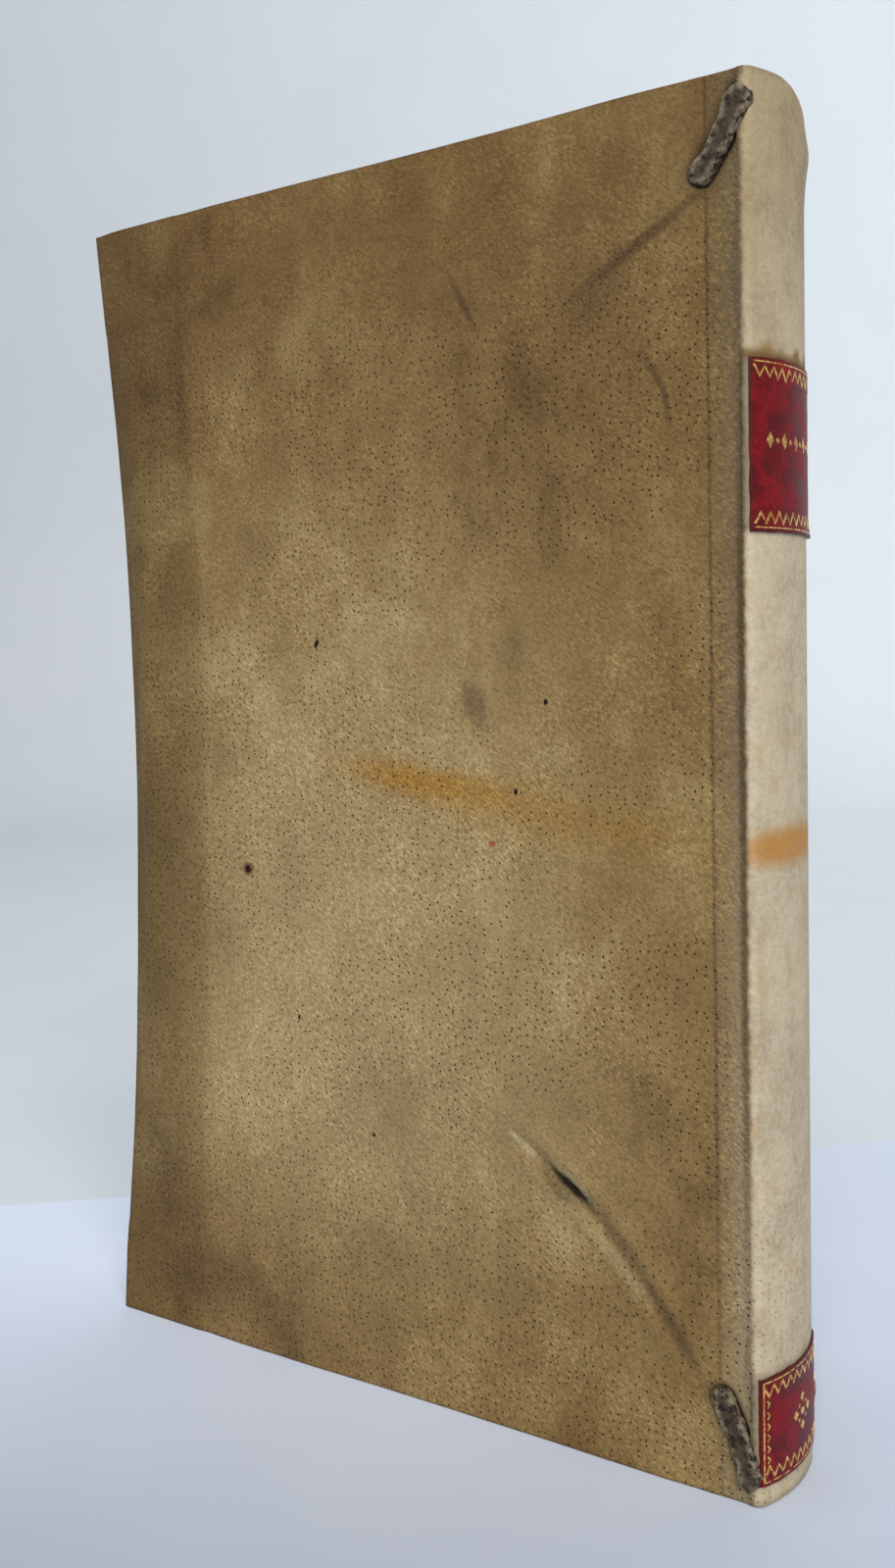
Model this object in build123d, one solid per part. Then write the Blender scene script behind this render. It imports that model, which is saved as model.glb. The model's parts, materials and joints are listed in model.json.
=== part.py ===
from build123d import *
import math
import os

# A small prayer book in a limp vellum case, shut and standing on its tail.
# Everything is drawn in spine coordinates: X = 0 is the shoulder line where the flat joints turn into
# the spine, +X points out of the spine, -X to the fore edge, Y = 0 is the middle opening, the front
# cover is on -Y, and Z = 0 is the tail edge of the cover. save() then moves each piece so that the
# origin is the middle of the whole book's footprint.

# ---- Driving dimensions, in millimetres ----
cover_height = 165.0  # tail to head of the vellum case
cover_width = 103.3  # shoulder to fore edge, at the head corner
waist_draw_in = 0.7  # how far the fore edge draws in at its waist
tail_flare = 3.9  # how far the tail corner spreads past the head corner
waist_share = 0.5  # height of the waist, as a share of the cover's height
spine_width = 16.2  # across the spine, outside the vellum
spine_bulge = 1.8  # how far the rounded spine stands out past the shoulders
shoulder_radius = 1.2  # rounding of the vellum at the shoulders
joint_width = 5.1  # shoulder to the crease that the cover hinges on
crease_gap = 0.2  # width of the crease line between the joint and the cover

vellum_thickness = 0.6
turn_in_thickness = 0.5
turn_in_width = 17.0  # vellum folded in at the fore edge
turn_in_depth = 14.0  # vellum folded in at head and tail
turn_in_setback = 0.3  # fold line to the edge of the case
turn_in_joint_setback = 1.0  # crease to the first piece glued inside the cover

pastedown_thickness = 0.2
pastedown_margin = 4.0  # border of turn-in left showing
field_clearance = 0.2  # pastedown's field to the turn-ins round it

leaf_thickness = 0.2
leaf_gap = 0.05  # air between loose leaves
leaf_root_gap = 0.3  # turning line to the leaf's inner edge
flyleaf_turn_setback = 0.5  # crease to the flyleaves' turning line
flyleaves_per_side = 2
centre_leaves = 3

head_square = 3.0  # cover past the leaves, at head and tail
fore_square = 2.6  # cover past the leaves, at the waist of the fore edge
gatherings_per_half = 6
fold_rounding = 0.45  # spine fold's radius, as a share of a gathering's thickness
fold_clearance = 0.02

support_count = 3
support_thickness = 0.8
support_width = 7.0
support_first_share = 0.22  # height of the lowest sewing support, as a share of the cover's height
slip_setback = 1.0  # crease to the end of a support's slip
thread_thickness = 0.25
thread_width = 0.3
lining_thickness = 0.3
lining_wrap = 1.0  # how far the lining turns round the shoulder of the leaves
lining_clearance = 1.2  # lining to a support or to the head and tail of the leaves
spine_clearance = 0.2  # stitches to the inside of the spine's vellum

endband_core_radius = 1.0
endband_thread = 0.25
endband_setback = 2.4  # shoulder line to the core's middle

lace_width = 2.9
lace_thickness = 1.0
peg_size = 1.6
peg_clearance = 0.1
head_lace_root_x = -1.7  # where the head lace comes out, beside the shoulder
head_lace_run_x = 4.2  # how far it runs across the joint
head_lace_run_z = 8.4  # how far it runs down
tail_lace_root_x = -1.2
tail_lace_run_x = 3.2
tail_lace_run_z = 10.4

label_thickness = 0.3
label_half_width = 7.6  # spine midline to the label's side edges
title_label_height = 19.3
title_label_share = 0.7525  # height of the label's middle, as a share of the cover's height
foot_label_height = 13.2
foot_label_share = 0.0558

# ---- Sizes that follow from them ----
half_spine = spine_width / 2
arc_radius = (half_spine**2 + spine_bulge**2) / (2 * spine_bulge)
arc_centre_x = spine_bulge - arc_radius
crease_x = -joint_width
tail_width = cover_width + tail_flare
waist_width = cover_width - waist_draw_in
waist_z = waist_share * cover_height

turn_in_face = vellum_thickness + turn_in_thickness  # depths below the cover's outer face
pastedown_face = turn_in_face + pastedown_thickness
leaf_pitch = leaf_thickness + leaf_gap
side_stack = pastedown_face + leaf_gap + flyleaves_per_side * leaf_pitch
spine_stack = vellum_thickness + spine_clearance + thread_thickness + support_thickness
block_inset = max(side_stack, spine_stack)  # leaves to the book's outer face, at the sides and the spine
half_block = half_spine - block_inset
half_centre_gap = (centre_leaves * leaf_pitch + leaf_gap) / 2
gathering_thickness = (half_block - half_centre_gap) / gatherings_per_half

block_bottom = head_square
block_top = cover_height - head_square
block_height = block_top - block_bottom
block_fore_x = fore_square - waist_width
crest_x = arc_centre_x + arc_radius - block_inset  # outermost fold of the leaves

endband_radius = endband_core_radius + endband_thread
head_core_z = block_top + endband_radius
tail_core_z = block_bottom - endband_radius
flyleaf_turn_x = crease_x - flyleaf_turn_setback
outermost_x = spine_bulge + label_thickness
shift_x = (tail_width - outermost_x) / 2  # spine coordinates to the middle of the footprint


def save(name, *solids):
    """Writes one named piece, moved so that the origin is the middle of the book's footprint."""
    placed = [solid.moved(Location((shift_x, 0, 0))) for solid in solids]
    export_step(placed[0] if len(placed) == 1 else Compound(placed), "parts/" + name + ".step")


def block(x_low, x_high, y_low, y_high, z_low, z_high):
    """A plain box between two corners."""
    box = Box(x_high - x_low, y_high - y_low, z_high - z_low, align=Align.MIN)
    return box.moved(Location((x_low, y_low, z_low)))


def to_back(piece):
    """The matching piece on the back half of the book."""
    return mirror(piece, about=Plane.XZ)


def arc_x(y, inset):
    """X of the rounded spine at a distance y from the midline, that deep below the outer face."""
    return arc_centre_x + math.sqrt((arc_radius - inset) ** 2 - y**2)


def spine_outline(inset, from_x, rounded=False):
    """The book's plan behind a line X = from_x, that deep below the outer face."""
    depth = spine_bulge - from_x
    plan = Pos(from_x + depth / 2, 0) * Rectangle(depth, 2 * (half_spine - inset))
    plan = plan & Pos(arc_centre_x, 0) * Circle(arc_radius - inset)
    if rounded:
        corners = [v for v in plan.vertices() if v.X > from_x + joint_width / 2]
        plan = fillet(corners, shoulder_radius - inset)
    return plan


def spine_shell(outer, inner, from_x, z_low, z_high, rounded=False):
    """A band bent round the spine, between two depths and two heights."""
    # The inner plan starts further from the spine, so the band is open there.
    band = spine_outline(outer, from_x, rounded) - spine_outline(inner, from_x - joint_width, rounded)
    return Pos(0, 0, z_low) * extrude(band, amount=z_high - z_low)


# ---- The leaves ----
def gathering(number):
    """One folded and sewn section of leaves; number 1 is next to the middle opening, on +Y."""
    near = half_centre_gap + (number - 1) * gathering_thickness
    far = near + gathering_thickness
    fold_x = arc_x(far, block_inset) - fold_clearance
    length = fold_x - block_fore_x
    section = Pos(block_fore_x + length / 2, (near + far) / 2) * Rectangle(length, gathering_thickness)
    folds = section.vertices().sort_by(Axis.X)[-2:]
    section = fillet(folds, fold_rounding * gathering_thickness)
    return Pos(0, 0, block_bottom) * extrude(section, amount=block_height)


def save_gatherings():
    """Twelve gatherings, counted from the front cover to the back cover."""
    for step in range(gatherings_per_half):
        front_number = gatherings_per_half - step
        back_number = gatherings_per_half + 1 + step
        save(f"gathering_{front_number:02d}", to_back(gathering(step + 1)))
        save(f"gathering_{back_number:02d}", gathering(step + 1))


def save_centre_leaves():
    """Loose leaves at the middle opening, which turn one after another."""
    for step in range(centre_leaves):
        low = -half_centre_gap + leaf_gap + step * leaf_pitch
        leaf = block(
            block_fore_x, crest_x - leaf_root_gap, low, low + leaf_thickness, block_bottom, block_top
        )
        save(f"centre_leaf_{step + 1}", leaf)


def save_flyleaves():
    """Free leaves between each pastedown and the first gathering, counted inwards from the cover."""
    for step in range(flyleaves_per_side):
        outer = -half_spine + pastedown_face + leaf_gap + step * leaf_pitch
        leaf = block(
            block_fore_x,
            flyleaf_turn_x - leaf_root_gap,
            outer,
            outer + leaf_thickness,
            block_bottom,
            block_top,
        )
        save(f"front_flyleaf_{step + 1}", leaf)
        save(f"back_flyleaf_{step + 1}", to_back(leaf))


# ---- Sewing ----
def support_height(number):
    """Height of the middle of one sewing support, counted up from the tail."""
    lowest = support_first_share * cover_height
    spacing = (cover_height - 2 * lowest) / (support_count - 1)
    return lowest + number * spacing


def save_supports():
    """Flat thongs across the spine, whose ends turn along the joints under the vellum."""
    for number in range(support_count):
        middle = support_height(number)
        support = spine_shell(
            block_inset - support_thickness,
            block_inset,
            crease_x + slip_setback,
            middle - support_width / 2,
            middle + support_width / 2,
        )
        save(f"sewing_support_{number + 1}", support)


def stitch(number, middle):
    """Thread of one gathering round one support: out of the fold, over the thong and in again."""
    y_middle = half_centre_gap + (number - 0.5) * gathering_thickness
    fold_x = arc_x(y_middle + gathering_thickness / 2, block_inset) - fold_clearance
    over_x = arc_x(y_middle - thread_width / 2, block_inset - support_thickness)
    reach = support_width / 2 + thread_width
    y_low = y_middle - thread_width / 2
    y_high = y_middle + thread_width / 2
    thread = block(over_x, over_x + thread_thickness, y_low, y_high, middle - reach, middle + reach)
    for z_low in (middle - reach, middle + reach - thread_width):
        thread += block(fold_x, over_x + thread_thickness, y_low, y_high, z_low, z_low + thread_width)
    return thread


def save_threads():
    """Every stitch of the back half in one node, and of the front half in another."""
    stitches = [
        stitch(number + 1, support_height(support))
        for number in range(gatherings_per_half)
        for support in range(support_count)
    ]
    save("sewing_thread_back", *stitches)
    save("sewing_thread_front", *[to_back(one) for one in stitches])


def save_lining():
    """Patches of lining glued on the folds between the supports."""
    edges = [block_bottom - support_width / 2]
    edges += [support_height(number) for number in range(support_count)]
    edges += [block_top + support_width / 2]
    reach = support_width / 2 + lining_clearance
    patches = [
        spine_shell(
            block_inset - lining_thickness,
            block_inset,
            arc_x(half_block, block_inset) - lining_wrap,
            low + reach,
            high - reach,
        )
        for low, high in zip(edges, edges[1:])
    ]
    save("spine_lining", *patches)


# ---- Endbands and their laces ----
def endband_core(middle_z):
    """Leather core lying across the ends of the folds."""
    core = Cylinder(endband_core_radius, 2 * half_block)
    return Pos(-endband_setback, 0, middle_z) * Rot(90, 0, 0) * core


def endband_winding(middle_z):
    """Sleeve of thread wound on the core."""
    sleeve = Cylinder(endband_radius, 2 * half_block) - Cylinder(endband_core_radius, 2 * half_block)
    return Pos(-endband_setback, 0, middle_z) * Rot(90, 0, 0) * sleeve


def peg_box(root_x, root_z, size, y_low):
    """The short stretch of lace that passes through the vellum, from its outer face inwards."""
    half = size / 2
    return block(root_x - half, root_x + half, -half_spine, y_low, root_z - half, root_z + half)


def lace(root_x, root_z, run_x, run_z):
    """End of an endband core: out through the joint, flat across it and over the crease."""
    length = math.hypot(run_x, run_z)
    lay = Plane(
        origin=(root_x - run_x / 2, -half_spine, root_z + run_z / 2),
        x_dir=(-run_x, 0, run_z),
        z_dir=(0, -1, 0),
    )
    strap = extrude(lay * SlotCenterToCenter(length, lace_width), amount=lace_thickness)
    return strap + peg_box(root_x, root_z, peg_size, -half_block)


def save_endbands():
    """Both endbands, and a lace on each side of each."""
    save("head_endband_core", endband_core(head_core_z))
    save("tail_endband_core", endband_core(tail_core_z))
    save("head_endband_winding", endband_winding(head_core_z))
    save("tail_endband_winding", endband_winding(tail_core_z))
    head_lace = lace(head_lace_root_x, head_core_z - endband_radius, head_lace_run_x, -head_lace_run_z)
    tail_lace = lace(tail_lace_root_x, tail_core_z + endband_radius, tail_lace_run_x, tail_lace_run_z)
    save("head_front_lace", head_lace)
    save("head_back_lace", to_back(head_lace))
    save("tail_front_lace", tail_lace)
    save("tail_back_lace", to_back(tail_lace))


# ---- The vellum case ----
def vellum_spine():
    """Spine of the case with both joints, slit for the four laces."""
    shell = spine_shell(0, vellum_thickness, crease_x + crease_gap / 2, 0, cover_height, rounded=True)
    slits = (
        (head_lace_root_x, head_core_z - endband_radius),
        (tail_lace_root_x, tail_core_z + endband_radius),
    )
    for root_x, root_z in slits:
        slit = peg_box(root_x, root_z, peg_size + 2 * peg_clearance, -half_block)
        shell = shell - slit - to_back(slit)
    return shell


def cover_sheet(depth, thickness, edge, fore_edge, setback):
    """A sheet with the front cover's outline, its outer face that deep below the cover's.

    edge and fore_edge are how far it stays inside the case, at head and tail and at the fore edge,
    and setback is how far it stays off the crease.
    """
    lay = Plane(origin=(0, -half_spine + depth, 0), x_dir=(1, 0, 0), z_dir=(0, 1, 0))
    # The plane's second direction points down, so heights are written with a minus sign.
    near_x = crease_x - setback
    low = edge
    high = cover_height - edge
    outline = Polyline(
        (fore_edge - cover_width, -high), (near_x, -high), (near_x, -low), (fore_edge - tail_width, -low)
    )
    fore = ThreePointArc(
        (fore_edge - tail_width, -low),
        (fore_edge - waist_width, -waist_z),
        (fore_edge - cover_width, -high),
    )
    return extrude(lay * make_face(outline + fore), amount=thickness)


def turn_ins():
    """Vellum folded in along the head, the fore edge and the tail."""
    margin = turn_in_setback
    frame = cover_sheet(vellum_thickness, turn_in_thickness, margin, margin, turn_in_joint_setback)
    field = cover_sheet(vellum_thickness, turn_in_thickness, turn_in_depth, turn_in_width, 0)
    return frame - field


def pastedown():
    """First leaf, pasted to the vellum inside the turn-ins and over them."""
    margin = pastedown_margin
    over = cover_sheet(turn_in_face, pastedown_thickness, margin, margin, turn_in_joint_setback)
    depth = turn_in_depth + field_clearance
    width = turn_in_width + field_clearance
    field = cover_sheet(vellum_thickness, turn_in_thickness, depth, width, turn_in_joint_setback)
    return over + field


def save_case():
    """The vellum in three leaves, split at the creases it bends on, and what is glued inside it."""
    save("vellum_spine", vellum_spine())
    panel = cover_sheet(0, vellum_thickness, 0, 0, crease_gap / 2)
    for side, place in (("front", lambda piece: piece), ("back", to_back)):
        save(side + "_vellum", place(panel))
        save(side + "_turn_ins", place(turn_ins()))
        save(side + "_pastedown", place(pastedown()))


# ---- Labels ----
def label(height, share):
    """Leather label glued across the rounded spine."""
    middle = share * cover_height
    band = Pos(arc_centre_x, 0) * (Circle(arc_radius + label_thickness) - Circle(arc_radius))
    window = Pos(arc_radius / 2, 0) * Rectangle(arc_radius, 2 * label_half_width)
    return Pos(0, 0, middle - height / 2) * extrude(band & window, amount=height)


def save_labels():
    """Title label high on the spine, small label at its foot."""
    save("title_label", label(title_label_height, title_label_share))
    save("foot_label", label(foot_label_height, foot_label_share))


def main():
    os.makedirs("parts", exist_ok=True)
    save_gatherings()
    save_centre_leaves()
    save_flyleaves()
    save_supports()
    save_threads()
    save_lining()
    save_endbands()
    save_case()
    save_labels()


if __name__ == "__main__":
    main()
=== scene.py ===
import json
import math
import random

import bpy
from bpy.props import FloatProperty, FloatVectorProperty, IntProperty, PointerProperty
from mathutils import Matrix, Vector, noise

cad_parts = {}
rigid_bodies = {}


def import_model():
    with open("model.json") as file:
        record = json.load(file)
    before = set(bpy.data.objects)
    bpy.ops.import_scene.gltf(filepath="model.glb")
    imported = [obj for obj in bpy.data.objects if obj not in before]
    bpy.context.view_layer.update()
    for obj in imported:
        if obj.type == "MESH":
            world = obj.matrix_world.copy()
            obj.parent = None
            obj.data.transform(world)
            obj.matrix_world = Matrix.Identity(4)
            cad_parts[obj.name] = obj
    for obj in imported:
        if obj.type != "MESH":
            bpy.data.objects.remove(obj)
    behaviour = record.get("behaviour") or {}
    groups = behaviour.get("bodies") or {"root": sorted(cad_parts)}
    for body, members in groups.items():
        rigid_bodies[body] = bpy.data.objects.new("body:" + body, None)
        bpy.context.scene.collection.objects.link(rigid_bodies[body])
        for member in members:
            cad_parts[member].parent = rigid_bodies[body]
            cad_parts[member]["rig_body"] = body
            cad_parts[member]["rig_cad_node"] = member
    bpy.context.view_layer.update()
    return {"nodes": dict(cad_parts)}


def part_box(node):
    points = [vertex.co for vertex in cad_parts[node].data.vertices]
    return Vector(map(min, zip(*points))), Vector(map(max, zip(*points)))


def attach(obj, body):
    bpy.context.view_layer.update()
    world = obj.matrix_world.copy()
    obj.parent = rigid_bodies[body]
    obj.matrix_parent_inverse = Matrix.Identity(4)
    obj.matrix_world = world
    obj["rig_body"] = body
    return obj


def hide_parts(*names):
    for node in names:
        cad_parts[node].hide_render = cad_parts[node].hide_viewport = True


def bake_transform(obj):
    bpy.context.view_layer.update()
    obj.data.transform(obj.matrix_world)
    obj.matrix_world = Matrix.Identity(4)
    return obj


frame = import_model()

bl_info = {
    "name": "Limp vellum prayer book",
    "version": (1, 0, 0),
    "blender": (4, 5, 0),
    "location": "View3D > Sidebar > Prayer Book",
    "description": "Builds the looks of a small laced vellum book round its packed construction model",
    "category": "Add Mesh",
}

MM = 0.001

NAP_SLOPE = -38  # degrees, the way the fibres lie on the cover

# Measures that the construction model uses too, in metres, and places read from its nodes.
VELLUM = 0.6 * MM
TURN_IN = 0.5 * MM
LACE_WIDTH = 2.9 * MM
LABEL = 0.3 * MM
LABEL_FACE = 0.24 * MM  # the finished label is pressed a little into the vellum
SPINE_BULGE = 1.8 * MM
SHOULDER_ROUND = 1.2 * MM
HEAD_DROOP = 2.2 * MM  # how far the skin droops over the head at the back shoulder
DROOP_RUN = 9 * MM  # how far down from the head the droop reaches
TURN_IN_FORE = 17 * MM
TURN_IN_END = 14 * MM
GOLD = 0.05 * MM  # thickness of a gilt line or mark
NEAR = 0.02 * MM  # how close to a plane a point counts as on it

spine_low, spine_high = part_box("vellum_spine")
cover_low, cover_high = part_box("front_vellum")
HEIGHT = spine_high.z
HALF_SPINE = spine_high.y
SHOULDER_X = spine_high.x - SPINE_BULGE
CREASE_X = spine_low.x
ARC_RADIUS = (HALF_SPINE**2 + SPINE_BULGE**2) / (2 * SPINE_BULGE)
ARC_CENTRE_X = spine_high.x - ARC_RADIUS


def linear(hex_text):
    """The linear colour of an sRGB hex value."""
    parts = [int(hex_text[i : i + 2], 16) / 255 for i in (0, 2, 4)]
    return tuple(c / 12.92 if c <= 0.04045 else ((c + 0.055) / 1.055) ** 2.4 for c in parts)


# ---- What a user can change ----
def length_property(name, description, millimetres):
    return FloatProperty(
        name=name, description=description, default=millimetres * MM, min=0, unit="LENGTH", precision=4
    )


class BookSizes(bpy.types.PropertyGroup):
    """Sizes of the finish: how the vellum has warped and what is pressed into it."""

    fore_curl: length_property(
        "Fore-edge curl", "How far the fore edge curls in over the leaves at its waist", 1.9
    )
    corner_spread: length_property(
        "Corner spread", "How far the cover stands out near its head and tail corners", 1.0
    )
    crease_depth: length_property(
        "Crease depth", "Depth of the creased line that the cover hinges on", 0.1
    )
    ridge_height: length_property(
        "Turn-in ridge", "How far the turned-in vellum shows through the cover", 0.22
    )
    cockle: length_property("Cockle", "Waviness of the vellum and of the leaves", 0.25)
    leaves_per_gathering: IntProperty(
        name="Leaves per gathering", description="Leaves that each sewn gathering holds, an even number",
        default=8, min=2,
    )


def colour_property(name, description, hex_text):
    return FloatVectorProperty(
        name=name, description=description, subtype="COLOR", min=0, max=1, default=linear(hex_text)
    )


class BookColours(bpy.types.PropertyGroup):
    """Colours of the materials."""

    vellum_dark: colour_property("Vellum, dark", "Darkest mottling of the cover", "6a5230")
    vellum_mid: colour_property("Vellum, middle", "Main tone of the cover", "8b7246")
    vellum_pale: colour_property("Vellum, pale", "Lightest mottling of the cover", "a48f60")
    vellum_cream: colour_property("Vellum, spine", "Cleaned cream vellum of the spine", "c6b899")
    label_red: colour_property("Label", "Dyed goatskin of the labels", "86040f")
    gilding: colour_property("Gilding", "Gold leaf tooled on the labels", "f3cd7c")
    lace_brown: colour_property("Laces", "Dried leather of the laces", "443727")
    paper: colour_property("Paper", "Aged rag paper of the leaves", "d3c39d")
    thread: colour_property("Thread", "Linen thread", "cdbf9c")


# ---- Small helpers ----
def smooth(low, high, value):
    """0 below low, 1 above high, and a smooth rise between; a falling edge when low is above high."""
    t = min(1.0, max(0.0, (value - low) / (high - low)))
    return t * t * (3 - 2 * t)


def hump(distance, width):
    """A smooth rise to 1 at distance 0 that dies out past width."""
    return math.exp(-((distance / width) ** 2))


def to_segment(point, start, end):
    """Distance from a point to a straight stretch, and the share of the stretch at the nearest place."""
    along = end - start
    share = min(1.0, max(0.0, (point - start).dot(along) / along.length_squared))
    return (point - start - along * share).length, share


def to_route(point, route):
    """Distance from a point to a route of straight stretches, and the share of it at the nearest place."""
    best = (1.0, 0.0)
    for index in range(len(route) - 1):
        distance, share = to_segment(point, route[index], route[index + 1])
        if distance < best[0]:
            best = (distance, (index + share) / (len(route) - 1))
    return best


def spread(start, end, step):
    """Evenly spaced values from start to end, about a step apart, ends included."""
    count = max(1, round(abs(end - start) / step))
    return [start + (end - start) * i / count for i in range(count + 1)]


def deselect():
    """Leaves object mode with nothing selected."""
    if bpy.context.object and bpy.context.object.mode != "OBJECT":
        bpy.ops.object.mode_set(mode="OBJECT")
    bpy.ops.object.select_all(action="DESELECT")


def make_active(piece):
    deselect()
    piece.select_set(True)
    bpy.context.view_layer.objects.active = piece


def apply_modifier(piece, kind, **settings):
    """Adds one modifier and applies it."""
    make_active(piece)
    modifier = piece.modifiers.new(kind.title(), kind)
    for key, value in settings.items():
        setattr(modifier, key, value)
    bpy.ops.object.modifier_apply(modifier=modifier.name)


def unselect_all(piece):
    """Makes a piece active in object mode, with none of its faces, edges or points selected."""
    make_active(piece)
    bpy.ops.object.mode_set(mode="EDIT")
    bpy.ops.mesh.select_all(action="DESELECT")
    bpy.ops.object.mode_set(mode="OBJECT")


def edit_all(piece, *steps):
    """Runs edit-mode operators, each with its settings, on a whole piece."""
    make_active(piece)
    bpy.ops.object.mode_set(mode="EDIT")
    bpy.ops.mesh.select_all(action="SELECT")
    for operator, settings in steps:
        operator(**settings)
    bpy.ops.object.mode_set(mode="OBJECT")


def bevel_edges(piece, test, offset, segments=2):
    """Rounds the edges whose two ends pass a test."""
    unselect_all(piece)
    mesh = piece.data
    for edge in mesh.edges:
        a, b = (mesh.vertices[v].co for v in edge.vertices)
        edge.select = test(a, b)
    bpy.ops.object.mode_set(mode="EDIT")
    bpy.ops.mesh.select_mode(type="EDGE")
    bpy.ops.mesh.bevel(offset=offset, segments=segments, affect="EDGES")
    bpy.ops.object.mode_set(mode="OBJECT")


def sheet(name, columns, rows, place, thickness, outward):
    """A sheet with a thickness: a grid whose points go where place(column, row) says.

    place gives the outer face, outward says which way that face looks, and the thickness goes inwards.
    """
    deselect()
    across, up = len(columns) - 1, len(rows) - 1
    bpy.ops.mesh.primitive_grid_add(x_subdivisions=across, y_subdivisions=up, size=2)
    piece = bpy.context.object
    piece.name = name
    piece.data.name = name
    for vertex in piece.data.vertices:
        column = columns[round((vertex.co.x + 1) / 2 * across)]
        row = rows[round((vertex.co.y + 1) / 2 * up)]
        vertex.co = place(column, row)
    piece.data.update()
    facing = sum((face.normal * face.area for face in piece.data.polygons), Vector())
    if facing.dot(Vector(outward)) < 0:
        edit_all(piece, (bpy.ops.mesh.flip_normals, {}))
    apply_modifier(piece, "SOLIDIFY", thickness=thickness, offset=-1, use_even_offset=False)
    return piece


def join(pieces, name):
    """Joins pieces into the first one."""
    make_active(pieces[0])
    for piece in pieces[1:]:
        piece.select_set(True)
    bpy.ops.object.join()
    pieces[0].name = name
    pieces[0].data.name = name
    return pieces[0]


def settle(piece):
    """Puts a piece's place into its mesh, so that its object sits at the origin."""
    make_active(piece)
    bpy.ops.object.transform_apply(location=True, rotation=True, scale=True)


def roughen(piece, size, depth, seed):
    """Moves each point along its normal by a noise of that size."""
    normals = [vertex.normal.copy() for vertex in piece.data.vertices]
    for vertex, normal in zip(piece.data.vertices, normals):
        vertex.co += normal * depth * noise.noise(vertex.co / size + Vector((seed, 0, 0)))
    piece.data.update()


def write_attribute(piece, name, value_at):
    """Stores one number for each point of a piece, worked out from where the point is."""
    attribute = piece.data.attributes.new(name, "FLOAT", "POINT")
    for vertex in piece.data.vertices:
        attribute.data[vertex.index].value = value_at(vertex.co)


def dress(piece, material, angle=40):
    """Gives a finished piece its material, slot and stored place, and smooths what is not an edge."""
    settle(piece)
    bpy.ops.object.shade_smooth_by_angle(angle=math.radians(angle))
    piece.data.materials.clear()
    piece.data.materials.append(material)
    # The place of each point at rest, in metres, so that a pattern stays put when the piece bends.
    place = piece.data.attributes.new("place", "FLOAT_VECTOR", "POINT")
    for vertex in piece.data.vertices:
        place.data[vertex.index].vector = vertex.co
    return piece


# ---- Materials ----
SOFT = {"interpolation_type": "SMOOTHSTEP"}
COLOURS = {"data_type": "RGBA"}


def add(tree, kind, *inputs, output=None, **named):
    """Adds a node and returns one of its outputs, the first in use unless another is named.

    An input is a number, a colour or another node's output. The inputs in use are filled in order, or by
    their capitalised names; names in lower case are the node's settings.
    """
    node = tree.nodes.new("ShaderNode" + kind)
    for key, value in named.items():
        if key.islower():
            setattr(node, key, value)
    pairs = list(zip([socket for socket in node.inputs if socket.enabled], inputs))
    pairs += [(node.inputs[key], value) for key, value in named.items() if not key.islower()]
    for socket, value in pairs:
        if isinstance(value, bpy.types.NodeSocket):
            tree.links.new(value, socket)
        else:
            socket.default_value = value
    return node.outputs[output] if output else next((s for s in node.outputs if s.enabled), None)


def new_material(name):
    """The empty node tree of a new material."""
    material = bpy.data.materials.new(name)
    material.use_nodes = True
    material.node_tree.nodes.clear()
    return material.node_tree


def finish_material(tree, colour, rough, bump, specular=0.5, metallic=0.0):
    """The shader of a material, from its last colour, its roughness and its bump if it has one."""
    named = {
        "Base Color": colour, "Roughness": rough, "Metallic": metallic,
        "Specular IOR Level": specular,
    }
    if bump:
        named["Normal"] = bump
    add(tree, "OutputMaterial", add(tree, "BsdfPrincipled", **named))


def rgba(colour):
    return (*colour, 1.0)


def place_in_mm(tree, stretch=(1, 1, 1), source=None):
    """The stored place of each point in millimetres, stretched along the axes."""
    if source is None:
        source = add(tree, "Attribute", output="Vector", attribute_name="place")
    return add(tree, "Mapping", source, Scale=[1000 * s for s in stretch])


def object_mm(tree):
    """Object coordinates in millimetres, for what never bends."""
    return place_in_mm(tree, source=add(tree, "TexCoord", output="Object"))


def drawn_out(tree, place, turn, stretch):
    """The same place, turned in the cover's plane by degrees and drawn out along the turned X."""
    turned = add(tree, "Mapping", place, Rotation=(0, math.radians(turn), 0))
    return add(tree, "Mapping", turned, Scale=(1 / stretch, 1, 1))


def spot(tree, place, centre, radii, turn=0.0, soft=0.6, ragged=0.0):
    """A mask of 1 inside an oval on the cover's plane, in millimetres and degrees."""
    centred = add(tree, "Mapping", place, Location=(-centre[0], 0, -centre[1]))
    turned = add(tree, "Mapping", centred, Rotation=(0, math.radians(turn), 0))
    squeezed = add(tree, "Mapping", turned, Scale=(1 / radii[0], 0, 1 / radii[1]))
    reach = add(tree, "VectorMath", squeezed, operation="LENGTH")
    if ragged:
        wobble = add(
            tree, "TexNoise", place, Scale=1 / (min(radii) * 1.2), Detail=4.0, Roughness=0.55
        )
        reach = add(tree, "Math", wobble, -ragged, reach, operation="MULTIPLY_ADD")
        reach = add(tree, "Math", reach, ragged / 2, operation="ADD")
    return add(tree, "MapRange", reach, 1 - soft, 1 + soft, 1.0, 0.0, **SOFT)


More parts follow.
